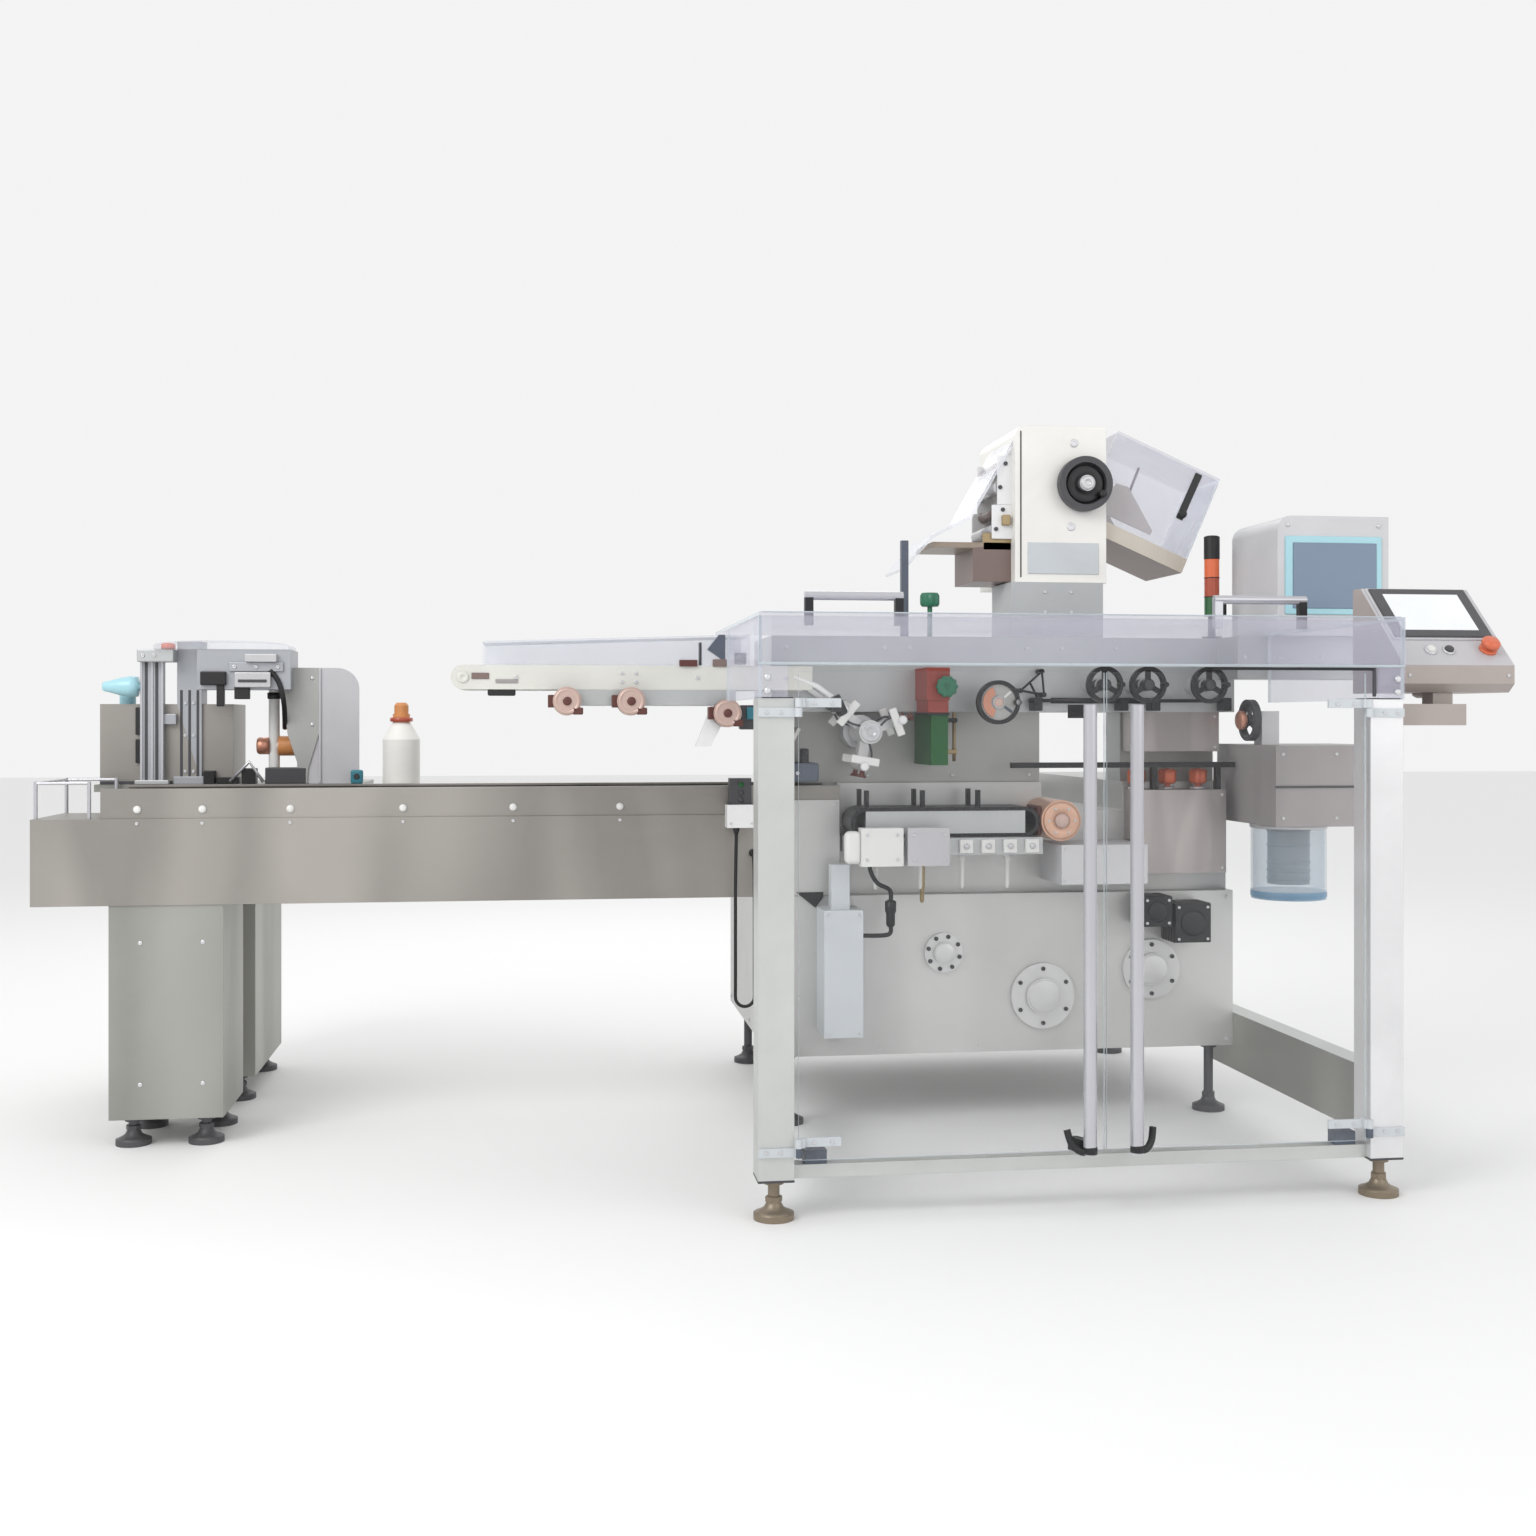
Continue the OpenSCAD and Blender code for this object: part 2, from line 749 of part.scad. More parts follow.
module feeder_shield() {
    x0 = table_x + table_l - shield_w - 10;
    y0 = table_y + 15;
    color([0.84, 0.84, 0.85]) union() {
        pull(y0, shield_t) difference() {
            translate([x0, rail_top]) square([shield_w, shield_h]);
            translate([x0 + shield_w - shield_r, rail_top + shield_h - shield_r]) difference() {
                square([shield_r + 1, shield_r + 1]);
                circle(shield_r);
            }
        }
        block([x0, y0, rail_top], [x0 + shield_t, y0 + shield_d, rail_top + shield_h]);
    }
}

module call_post() {
    y0 = infeed_y1 + call_d / 2;
    color([0.90, 0.90, 0.88]) union() {
        block([call_x - 30, infeed_y1, skirt_top - 60], [call_x + 30, infeed_y1 + call_d, skirt_top]);
        translate([call_x, y0, 0]) rotate_extrude() polygon([
            [0, skirt_top - 1], [call_d / 2 - 4, skirt_top - 1], [call_d / 2, skirt_top + 8],
            [call_d / 2, skirt_top + 200], [call_d / 2 - 22, skirt_top + 240],
            [button_d / 2 + 4, skirt_top + 248], [button_d / 2 + 4, skirt_top + 272],
            [button_d / 2, skirt_top + 272], [button_d / 2, skirt_top + 296],
            [button_d / 2 - 6, skirt_top + 304], [0, skirt_top + 304]]);
    }
}

// magazine side rail with a half-round nose
module mag_rail(y, x1) {
    pull(y, mag_t) union() {
        translate([mag_x + mag_h / 2, mag_z0 + mag_h / 2]) circle(mag_h / 2);
        translate([mag_x + mag_h / 2, mag_z0]) square([x1 - mag_x - mag_h / 2, mag_h]);
    }
}

module magazine_rails() {
    color([0.89, 0.89, 0.87]) {
        mag_rail(mag_y0, mag_x1);
        mag_rail(mag_y1 - mag_t, mag_x1);
    }
}

module magazine_frame() {
    t = mbelt_gap + mbelt_t;
    x0 = mag_x + mbeam_x;
    x1 = x0 + mbeam_l;
    color([0.62, 0.62, 0.63]) {
        block([mag_x + mag_h / 2 + 12, mag_y0 + mag_t, mag_z0 + t], [mag_x1 - mag_h / 2, mag_y1 - mag_t, mag_z0 + mag_h - t]);
        block([x0, mag_y0, mag_z0 - mbeam_h], [x1, mag_y1, mag_z0]);
    }
}

module magazine_arm() {
    x1 = mag_x + mbeam_x + mbeam_l;
    z1 = mag_z0 - mbeam_h;
    color([0.62, 0.62, 0.63])
        pull(mag_y0, 26) polygon([[x1 - 62, z1], [x1 - 10, z1], [x1 - 66, z1 - 105], [x1 - 104, z1 - 105]]);
}

module magazine_belt() {
    color([0.24, 0.25, 0.26])
        band(mag_x + mbelt_gap + 3, mag_x1 - mbelt_gap, mag_z0 + mbelt_gap, mag_h - 2 * mbelt_gap, mbelt_t,
            mag_y0 + mag_t + (mag_w - mbelt_w) / 2, mbelt_w);
}

module magazine_hood() {
    x0 = mag_x + hood_x;
    x1 = x0 + hood_l;
    z0 = mag_z0 + mag_h;
    color([0.88, 0.90, 0.93, 0.4]) difference() {
        pull(mag_y0, mag_y1 - mag_y0) polygon([[x0, z0], [x1, z0], [x1, z0 + hood_h1], [x0, z0 + hood_h0]]);
        pull(mag_y0 + hood_t, mag_y1 - mag_y0 - 2 * hood_t) polygon([[x0 - 1, z0 - 1], [x1 + 1, z0 - 1],
            [x1 + 1, z0 + hood_h1 - hood_t], [x0 - 1, z0 + hood_h0 - hood_t]]);
    }
}

module magazine_motors() {
    x0 = mag_x + mbeam_x;
    color([0.78, 0.57, 0.49])
        for (p = [[x0 + 17, -10], [x0 + 178, -10], [x0 + mbeam_l - 27, -40]])
            ycyl([p[0], mag_y0 - mmotor_l, mag_z0 - mbeam_h / 2 + p[1]], mmotor_d, mmotor_l);
}

// bush on the front of the top beam, bored for a spindle
module bush(x, z) {
    difference() {
        ycyl([x, beam_y - bush_l, z], bush_d, bush_l);
        ycyl([x, beam_y - bush_l - 1, z], spindle_d + 2 * run_fit, bush_l - 8);
    }
}

wheel_xs = [close_x0 - 119, close_x0 + 3, close_x0 + 177];
ring_x = body_x + gate_x + gate_w + ring_gap + ring_d / 2;
ring_z = beam_z + bush_d / 2;

module spindle_bushes() {
    color([0.55, 0.55, 0.56]) {
        for (x = wheel_xs)
            bush(x, beam_z + wheel_z);
        bush(ring_x, ring_z);
        difference() {
            ycyl([rot_x, beam_y, rot_z], bearing_d, wall_y - beam_y);
            ycyl([rot_x, beam_y - 1, rot_z], shaft_d + 2 * run_fit, wall_y - beam_y - 9);
        }
    }
}

// three spokes of a wheel as wide as d, in the plane at y
module spokes(y, d) {
    for (a = [90, 210, 330])
        rotate([0, -a, 0]) block([whub_d / 2 - 6, y - 4, -7], [d / 2 - rim_w / 2, y + 4, 7]);
}

// handwheel facing -Y, with its spindle behind it; the back of the hub is at y = 0
module handwheel(d, web) {
    y = -whub_l + rim_t / 2;
    union() {
        difference() {
            ycyl([0, -whub_l, 0], d, rim_t);
            ycyl([0, -whub_l - 1, 0], d - 2 * rim_w, rim_t + 2);
        }
        if (web)
            ycyl([0, y - 4, 0], d - rim_w, 8);
        else
            spokes(y, d);
        ycyl([0, -whub_l, 0], whub_d, whub_l);
        ycyl([0, -1, 0], spindle_d, bush_l - 14 + run_gap);
        ycyl([d / 2 - rim_w, -whub_l - 26, 0], 15, 30);
    }
}

module wheel_on_beam(x, z, d, web = false) {
    translate([x, beam_y - bush_l - run_gap, z]) handwheel(d, web);
}

module wheel_left() {
    color([0.10, 0.10, 0.11]) wheel_on_beam(wheel_xs[0], beam_z + wheel_z, wheel_d);
}

module wheel_mid() {
    color([0.10, 0.10, 0.11]) wheel_on_beam(wheel_xs[1], beam_z + wheel_z, wheel_d);
}

module wheel_right() {
    color([0.10, 0.10, 0.11]) wheel_on_beam(wheel_xs[2], beam_z + wheel_z, wheel_d);
}

module wheel_ring() {
    color([0.45, 0.33, 0.28]) wheel_on_beam(ring_x, ring_z, ring_d, true);
}

side_z = out_z + out_h + swheel_d / 2 + 10;
side_y = out_y + out_d / 2 - 15;
side_x = out_x + 30;

module side_block() {
    color([0.55, 0.55, 0.56]) difference() {
        block([side_x, side_y - 25, out_z + out_h], [side_x + bush_l, side_y + 25, side_z + 25]);
        translate([side_x - 1, side_y, side_z]) rotate([0, 90, 0])
            cylinder(h = bush_l - 8, d = spindle_d + 2 * run_fit);
    }
}

module wheel_side() {
    color([0.30, 0.30, 0.31]) translate([side_x - run_gap, side_y, side_z]) rotate([0, 0, -90]) union() {
        difference() {
            ycyl([0, -rim_t - 8, 0], swheel_d, rim_t);
            ycyl([0, -rim_t - 9, 0], swheel_d - 2 * rim_w, rim_t + 2);
        }
        spokes(-rim_t / 2 - 8, swheel_d);
        ycyl([0, -rim_t - 8, 0], whub_d, rim_t + 8);
        ycyl([0, -1, 0], spindle_d, bush_l - 14 + run_gap);
    }
}

module carton_rotor() {
    y0 = rot_y1 - rotor_l;
    color([0.80, 0.80, 0.80]) union() {
        ycyl([rot_x, y0, rot_z], hub_d, rotor_l);
        ycyl([rot_x, rot_y1 - 1, rot_z], shaft_d, wall_y - beam_y - 16 + run_gap);
        for (a = [20, 140, 260])
            translate([rot_x, 0, rot_z]) rotate([0, -a, 0]) {
                block([hub_d / 2 - 8, y0 + rotor_l / 2 - 20, -13], [rotor_r, y0 + rotor_l / 2 + 20, 13]);
                ycyl([rotor_r, y0, 0], bar_d, rotor_l);
                for (y = [y0 + 24, y0 + rotor_l - 24])
                    translate([rotor_r, y, 0]) rotate([0, 90, 0]) union() {
                        cylinder(h = bar_d / 2 + cup_l - 8, d = cup_d * 0.5);
                        translate([0, 0, bar_d / 2 + cup_l - 9]) cylinder(h = 9, d1 = cup_d * 0.55, d2 = cup_d);
                    }
            }
    }
}

module blank_gate() {
    x0 = body_x + gate_x;
    color([0.50, 0.25, 0.22])
        block([x0, beam_y - gate_d, beam_z + 30], [x0 + gate_w, beam_y, beam_z + 117]);
    color([0.13, 0.30, 0.15])
        block([x0 + 16, beam_y - gate_d + 20, deck_z + 52], [x0 + gate_w, wall_y, beam_z - 8]);
}

module transport_bed() {
    color([0.60, 0.60, 0.60]) {
        block([bed_x0, deck_y - bed_d, bed_z0], [bed_x0 + bed_l, deck_y, bed_top]);
        block([bed_x0 + tchain_h / 2, deck_y - bed_d + 30, bed_top + tchain_t],
            [bed_x0 + bed_l - tchain_h / 2, deck_y - bed_d + 30 + tchain_w, bed_top + tchain_h - tchain_t]);
    }
}

module transport_chain() {
    lug_pitch = 152;
    color([0.20, 0.20, 0.21]) union() {
        band(bed_x0, bed_x0 + bed_l, bed_top, tchain_h, tchain_t, deck_y - bed_d + 30, tchain_w);
        for (i = [0 : floor((bed_l - tchain_h - 10) / lug_pitch)], y = [8, tchain_w - 28])
            translate([bed_x0 + tchain_h / 2 + i * lug_pitch, deck_y - bed_d + 30 + y, bed_top + tchain_h - 1])
                cube([10, 20, 46]);
    }
}

module guide_blocks() {
    color([0.86, 0.86, 0.86])
        for (i = [0, 1])
            translate([bed_x0 + 14 + i * (block_w + block_gap), deck_y - bed_d - block_d, bed_z0 - 25])
                cube([block_w, block_d, block_h]);
}

module guide_rail() {
    x1 = close_x0 + close_w + 35;
    y0 = close_y + 22;
    z0 = close_top + stem_h + knob_h + 6;
    color([0.16, 0.16, 0.17]) union() {
        block([x1 - guide_l, y0, z0], [x1, y0 + guide_d, z0 + guide_h]);
        for (x = [close_x0 + 50, close_x0 + close_w - 20])
            block([x, y0, close_top], [x + 14, y0 + guide_d, z0 + 1]);
    }
}

module front_covers() {
    color([0.64, 0.61, 0.60]) {
        block([close_x0, beam_y, beam_z - close_h1], [close_x0 + close_w, wall_y, beam_z]);
        block([close_x0, close_y, base_z + close_z], [close_x0 + close_w, deck_y, close_top]);
        block([close_x0 - 5 - gear_w, deck_y - gear_d, base_z + 36], [close_x0 - 5, deck_y, base_z + 36 + gear_h]);
    }
    color([0.75, 0.77, 0.79]) union() {
        block([body_x + 125, body_y - dcover_d, base_z - 27 - dcover_h], [body_x + 125 + dcover_w, body_y, base_z - 27]);
        block([body_x + 149, body_y - 90, base_z - 28], [body_x + 149 + dpost_w, body_y - 50, base_z + 92]);
    }
}

module knobs() {
    color([0.80, 0.42, 0.30])
        for (i = [0, 1, 2])
            translate([close_x0 + knob_x + i * knob_step, close_y + knob_y, close_top]) union() {
                cylinder(h = stem_h + 1, d = knob_d * 0.4);
                translate([0, 0, stem_h]) cylinder(h = knob_h, d = knob_d);
            }
    color([0.12, 0.32, 0.15]) translate([body_x + 465, beam_y + 120, beam_top]) union() {
        cylinder(h = 91, d = 14);
        translate([0, 0, 90]) cylinder(h = 38, d = 44);
    }
}

module drive_motors() {
    color([0.14, 0.14, 0.15]) {
        block([close_x0, body_y - 110, base_z - 85], [close_x0 + 80, body_y, base_z - 5]);
        block([close_x0 + 90, body_y - 110, base_z - 130], [close_x0 + 190, body_y, base_z - 25]);
    }
    color([0.72, 0.50, 0.42])
        ycyl([dip_x, deck_y - press_l, base_z + 36 + gear_h + press_d / 2 + 10], press_d, press_l);
    color([0.35, 0.36, 0.38])
        translate([out_x + bowl_d / 2, out_y + 140, out_z - bowl_h + bowl_t + core_gap])
            cylinder(h = bowl_h - bowl_t - core_gap, d = core_d);
}

module bearing_covers() {
    xs = [body_x + cover_x[0], body_x + cover_x[1], close_x0 + cover_x3];
    color([0.77, 0.77, 0.78])
        for (i = [0, 1, 2]) union() {
            ycyl([xs[i], body_y - cover_t, base_z - cover_z[i]], cover_d[i], cover_t);
            ycyl([xs[i], body_y - cover_t - 12, base_z - cover_z[i]], cover_d[i] * 0.55, 13);
        }
}

module discharge_box() {
    color([0.60, 0.57, 0.56])
        block([out_x, out_y, out_z], [out_x + out_l, out_y + out_d, out_z + out_h]);
}

module bowl() {
    color([0.80, 0.86, 0.92, 0.4]) translate([out_x + bowl_d / 2, out_y + 140, out_z - bowl_h]) difference() {
        cylinder(h = bowl_h, d = bowl_d);
        translate([0, 0, bowl_t]) cylinder(h = bowl_h, d = bowl_d - 2 * bowl_t);
    }
}

module guard_posts() {
    color([0.77, 0.78, 0.78])
        for (x = [guard_x, post_xr])
            block([x, guard_y, post_z], [x + post_w, post_y1, post_top]);
}

module guard_base() {
    color([0.74, 0.74, 0.75]) {
        block([guard_x + post_w, guard_y + 20, post_z + 2], [post_xr, guard_y + 20 + sill_d, post_z + 2 + sill_h]);
        block([body_x1, post_y1, sbeam_z], [body_x1 + sbeam_w, body_y + sbeam_lap, sbeam_z + sbeam_h]);
        translate([0, 0, sbeam_z]) linear_extrude(sbeam_h) polygon([[guard_x + 43, post_y1],
            [guard_x + 78, post_y1], [body_x + 35, body_y], [body_x, body_y]]);
    }
}

module canopy_top() {
    color([0.85, 0.87, 0.92, 0.4]) union() {
        block([guard_x, guard_y - 10, canopy_bottom], [guard_x1, guard_y - 10 + sheet_t, canopy_z + sheet_t]);
        block([guard_x, guard_y - 10, canopy_z], [guard_x1, beam_y + 10, canopy_z + sheet_t]);
    }
}

module canopy_ends() {
    color([0.85, 0.87, 0.92, 0.4]) {
        block([guard_x, guard_y - 10 + sheet_t, post_top], [guard_x + sheet_t, mag_y0 - mmotor_l - 12, canopy_z]);
        block([guard_x1 - sheet_t, guard_y - 10 + sheet_t, post_top], [guard_x1, beam_y - shelf_d - 10, canopy_z]);
    }
}

// horizontal grip tube on two legs, standing on the canopy
module grip(x0) {
    y0 = post_y1 + grip_y;
    z0 = canopy_z + sheet_t;
    union() {
        translate([x0, y0, z0 + grip_h]) rotate([0, 90, 0]) cylinder(h = grip_l, d = tube_d * 0.75);
        for (x = [x0, x0 + grip_l - elbow_h * 0.7])
            block([x, y0 - 10, z0], [x + elbow_h * 0.7, y0 + 10, z0 + grip_h]);
    }
}

module canopy_handles() {
    color([0.80, 0.80, 0.80]) {
        grip(guard_x + 183);
        grip(post_xr - 170);
    }
}

// fixed plate and lower knuckle with its pin; s is 1 on the left post and -1 on the right post
module hinge_plate(x, z, s) {
    union() {
        block([s > 0 ? guard_x : x + 5, guard_y - strap_t, z], [s > 0 ? x - 5 : guard_x1, guard_y, z + knuckle_h]);
        translate([x, hinge_y, z]) cylinder(h = knuckle_h, r = knuckle_r);
        translate([x, hinge_y, z]) cylinder(h = 2 * knuckle_h + knuckle_gap - 1, d = pin_d);
        block([x - 6, guard_y - strap_t - 4, z], [x + 6, guard_y - strap_t + 2, z + knuckle_h]);
    }
}

// moving strap and upper knuckle, bored for the pin
module hinge_strap(x, z, s) {
    difference() {
        union() {
            translate([x, hinge_y, z]) cylinder(h = knuckle_h, r = knuckle_r);
            block([s > 0 ? x : x - 14, hinge_y - 2, z], [s > 0 ? x + 14 : x, hinge_y + knuckle_r, z + knuckle_h]);
            block([s > 0 ? x + 8 : x - strap_l, door_y - strap_t, z], [s > 0 ? x + strap_l : x - 8, door_y + 1, z + knuckle_h]);
        }
        translate([x, hinge_y, z - 1]) cylinder(h = knuckle_h + 2, d = pin_d + 2 * run_fit);
    }
}

module guard_fittings() {
    color([0.80, 0.81, 0.82]) {
        for (z = [hinge_top_z, hinge_low_z]) {
            hinge_plate(hinge_xl, z, 1);
            hinge_plate(hinge_xr, z, -1);
        }
        for (x = [door_xl + 16, door_xr - 66])
            block([x, guard_y + 22, post_z + 2 + sill_h], [x + 50, guard_y + 58, post_z + 2 + sill_h + 30]);
    }
}

// clear door leaf with its two hinge straps; s is 1 on the left and -1 on the right
module door(s) {
    x = s > 0 ? hinge_xl : hinge_xr;
    up = knuckle_h + knuckle_gap;
    union() {
        block([s > 0 ? door_xl : door_mid + meet_gap / 2, door_y, door_z],
            [s > 0 ? door_mid - meet_gap / 2 : door_xr, door_y + sheet_t, door_top]);
        hinge_strap(x, hinge_top_z + up, s);
        hinge_strap(x, hinge_low_z + up, s);
    }
}

module left_door() {
    color([0.88, 0.90, 0.92, 0.3]) door(1);
}

module right_door() {
    color([0.88, 0.90, 0.92, 0.3]) door(-1);
}

// upright tube held by two slanted brackets; s is 1 on the left door and -1 on the right door
module handle(s) {
    x = door_mid - s * handle_set;
    y = door_y - handle_off;
    z0 = door_z + (door_h - handle_l) / 2 - handle_drop;
    union() {
        translate([x, y, z0]) cylinder(h = handle_l, d = tube_d);
        for (z = [z0, z0 + handle_l - elbow_h])
            translate([0, 0, z]) linear_extrude(elbow_h) polygon([[x - 11, y], [x + 11, y],
                [x + 11 - s * elbow_lean, door_y], [x - 11 - s * elbow_lean, door_y]]);
    }
}

module left_handle() {
    color([0.78, 0.78, 0.78]) handle(1);
}

module right_handle() {
    color([0.78, 0.78, 0.78]) handle(-1);
}

module console() {
    y1 = hmi_y + hmi_d;
    color([0.70, 0.68, 0.67]) union() {
        translate([hmi_x, 0, 0]) rotate([90, 0, 90]) linear_extrude(hmi_w) polygon([[hmi_y + 24, hmi_z],
            [hmi_y, hmi_z + 20], [hmi_y, hmi_z + hmi_h0], [y1 - hmi_flat, hmi_z + hmi_h1], [y1, hmi_z + hmi_h1],
            [y1, hmi_z]]);
        block([guard_x1, post_y1 - 40, post_top - arm_t - 10], [hmi_x + hmi_w / 2, post_y1 + 70, post_top - 10]);
        block([hmi_x + hmi_w / 2 - arm_t, post_y1 + 20, post_top - 11], [hmi_x + hmi_w / 2, post_y1 + 70, hmi_z + 1]);
    }
}

module control_box() {
    x0 = guard_x1 + 1;
    color([0.80, 0.80, 0.81]) pull(beam_y - shelf_d - 50, box_d) union() {
        translate([x0, beam_top]) square([shelf_x1 - x0 + 19, box_h - box_r]);
        translate([x0 + box_r, beam_top]) square([shelf_x1 - x0 + 19 - box_r, box_h]);
        translate([x0 + box_r, beam_top + box_h - box_r]) circle(box_r);
    }
}

module tower_light() {
    r = tower_d / 2;
    color([0.75, 0.40, 0.25]) translate([body_x1 - 41, beam_y + 60, beam_top]) union() {
        cylinder(h = 8, d = tower_d + 14);
        cylinder(h = pole_h + 1, d = tower_d * 0.5);
        translate([0, 0, pole_h]) cylinder(h = 3 * lens_h + 4, r = r - 2);
        for (i = [0 : 2])
            translate([0, 0, pole_h + i * (lens_h + 1)]) cylinder(h = lens_h, r = r);
        translate([0, 0, pole_h + 3 * lens_h + 3]) cylinder(h = lens_h + 10, r = r + 1);
    }
}

module folder_head() {
    wheel = [fold_x1 - fwheel_x, fold_y0, fold_z1 - fwheel_z];
    color([0.90, 0.90, 0.90]) difference() {
        union() {
            block([fold_x0 - 15, fold_y0 - 10, beam_top], [fold_x1 - 13, fold_y0 - 10 + stand_d, fold_z0 + 1]);
            pull(fold_y0, fold_d) union() {
                translate([fold_x0, fold_z0]) square([fold_w, fold_h - 30]);
                translate([fold_x0 + 30, fold_z0]) square([fold_w - 30, fold_h]);
                translate([fold_x0 + 30, fold_z1 - 30]) circle(30);
            }
        }
        ycyl(wheel - [0, 1, 0], spindle_d * 1.3 + 2 * run_fit, 61);
    }
}

module folder_wheel() {
    wheel = [fold_x1 - fwheel_x, fold_y0 - run_gap, fold_z1 - fwheel_z];
    color([0.22, 0.22, 0.23]) translate(wheel) union() {
        difference() {
            ycyl([0, -34, 0], fwheel_d, 28);
            ycyl([0, -35, 0], fwheel_d - 36, 16);
        }
        ycyl([0, -44, 0], whub_d * 1.4, 44);
        ycyl([0, -1, 0], spindle_d * 1.3, 54 + run_gap);
    }
}

// lays its children in the slope of the leaflet tray, u along the slope and w square to it
module on_slope() {
    translate([fold_x1, fold_y0 + 30, fold_z0 + tray_z]) rotate([0, tray_a, 0]) children();
}

// keeps the side of its children that lies right of the head
module right_of_head() {
    reach = tray_l + tcover_h;
    intersection() {
        children();
        block([fold_x1, fold_y0, fold_z0], [fold_x1 + reach, fold_y0 + reach, fold_z1 + reach]);
    }
}

module folder_tray() {
    color([0.50, 0.42, 0.40]) right_of_head() on_slope()
        translate([-40, 0, -tray_t]) cube([tray_l + 40, tray_d, tray_t]);
}

module folder_cover() {
    color([0.87, 0.88, 0.90, 0.4]) right_of_head() on_slope() difference() {
        translate([-60, 0, 0]) cube([tray_l + 60, tray_d, tcover_h]);
        translate([-160, tcover_t, -1])
            cube([tray_l + 160 - tcover_t, tray_d - 2 * tcover_t, tcover_h + 1 - tcover_t]);
    }
}

deliv_y = fold_y0 + 20;

module delivery_guard() {
    x = fold_x0;
    z = fold_z1;
    t = deliv_t;
    bends = [for (i = [0, 1, 2]) [x - deliv_reach[i], z - deliv_drop[i]]];
    color([0.87, 0.88, 0.90, 0.4]) pull(deliv_y, deliv_d) polygon([[x, z - 40], bends[0], bends[1],
        bends[2], bends[2] + t * [0.8, -0.7], bends[1] + t * [0.5, -1], bends[0] + t * [0.75, -1],
        [x, z - 40 - 2 * t]]);
}

module delivery_unit() {
    z = fold_z1 - dshelf_drop;
    stem_x = fold_x0 - dstem_x;
    color([0.45, 0.38, 0.36]) {
        union() {
            block([fold_x0 - 230, deliv_y + 20, z - 16], [fold_x0, deliv_y + deliv_d - 20, z]);
            block([fold_x0 - 113, deliv_y + 20, fold_z0 + 5], [fold_x0, deliv_y + deliv_d - 20, z - 15]);
        }
        block([stem_x, deliv_y - dstem_w, beam_top], [stem_x + dstem_w, deliv_y, z - 2]);
    }
}

module pendant() {
    y0 = infeed_y - hold_d;
    z0 = skirt_top - 33;
    color([0.30, 0.30, 0.31]) union() {
        block([pend_x, y0, z0], [pend_x + hold_w, infeed_y, z0 + hold_h]);
        block([pend_x + 8, y0 + 8, z0 + hold_h - 1], [pend_x + hold_w - 10, infeed_y - 8, z0 + hold_h + pend_h]);
    }
}

// route of the pendant cord, from the holder down and back up to the skirt
CORD = [[20, -90, 810.66], [20, -90, 780], [19, -90, 720], [18, -90, 650], [18, -90, 580], [18, -90, 510],
    [18, -90, 440], [18, -90, 395], [18, -90, 362], [21.4, -90, 349.3], [30.8, -90, 339.9], [43.5, -90, 336.5],
    [56.3, -90, 339.9], [65.6, -90, 349.3], [69, -90, 362], [69, -90, 395], [69, -90, 450], [69, -90, 520],
    [69, -90, 590], [69, -88, 650], [69, -84, 700], [69, -76, 728], [69, -64, 740], [69, -54.34, 743]];

module pendant_cord() {
    color([0.12, 0.12, 0.13])
        for (i = [0 : len(CORD) - 2])
            hull() {
                translate(CORD[i]) sphere(d = cord_d, $fn = 12);
                translate(CORD[i + 1]) sphere(d = cord_d, $fn = 12);
            }
}

base_cabinet();
upper_body();
upper_frame();
levelling_feet();
infeed_skirt();
infeed_rails();
infeed_chain();
end_rail();
pedestals();
feeder_stand();
feeder_frame();
feeder_shield();
call_post();
magazine_rails();
magazine_frame();
magazine_arm();
magazine_belt();
magazine_hood();
magazine_motors();
spindle_bushes();
carton_rotor();
blank_gate();
transport_bed();
transport_chain();
guide_blocks();
guide_rail();
front_covers();
knobs();
drive_motors();
bearing_covers();
wheel_left();
wheel_mid();
wheel_right();
wheel_ring();
wheel_side();
side_block();
discharge_box();
bowl();
guard_posts();
guard_base();
canopy_top();
canopy_ends();
canopy_handles();
guard_fittings();
left_door();
left_handle();
right_door();
right_handle();
console();
control_box();
tower_light();
folder_head();
folder_wheel();
folder_tray();
folder_cover();
delivery_guard();
delivery_unit();
pendant();
pendant_cord();
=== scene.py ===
"""Finishes, fittings, light and camera for the automatic cartoner."""
import logging
import math
from dataclasses import dataclass
from enum import Enum
from functools import partial
from itertools import product
from typing import Callable, Iterable, Sequence

import bmesh
import bpy
from mathutils import Matrix, Vector


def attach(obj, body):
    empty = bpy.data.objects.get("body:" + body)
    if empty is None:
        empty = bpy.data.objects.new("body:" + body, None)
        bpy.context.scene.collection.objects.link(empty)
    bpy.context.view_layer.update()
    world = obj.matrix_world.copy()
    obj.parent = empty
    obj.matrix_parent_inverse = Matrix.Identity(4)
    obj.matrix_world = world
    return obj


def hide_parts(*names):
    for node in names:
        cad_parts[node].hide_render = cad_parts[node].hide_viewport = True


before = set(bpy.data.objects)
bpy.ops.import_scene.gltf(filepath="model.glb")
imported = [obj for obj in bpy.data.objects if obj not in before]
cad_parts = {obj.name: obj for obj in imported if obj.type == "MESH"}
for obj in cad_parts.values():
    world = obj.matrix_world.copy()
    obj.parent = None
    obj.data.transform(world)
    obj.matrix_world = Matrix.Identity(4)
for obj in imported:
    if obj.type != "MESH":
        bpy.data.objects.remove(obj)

logging.basicConfig(level=logging.INFO, format="%(message)s")
LOG = logging.getLogger("cartoner")

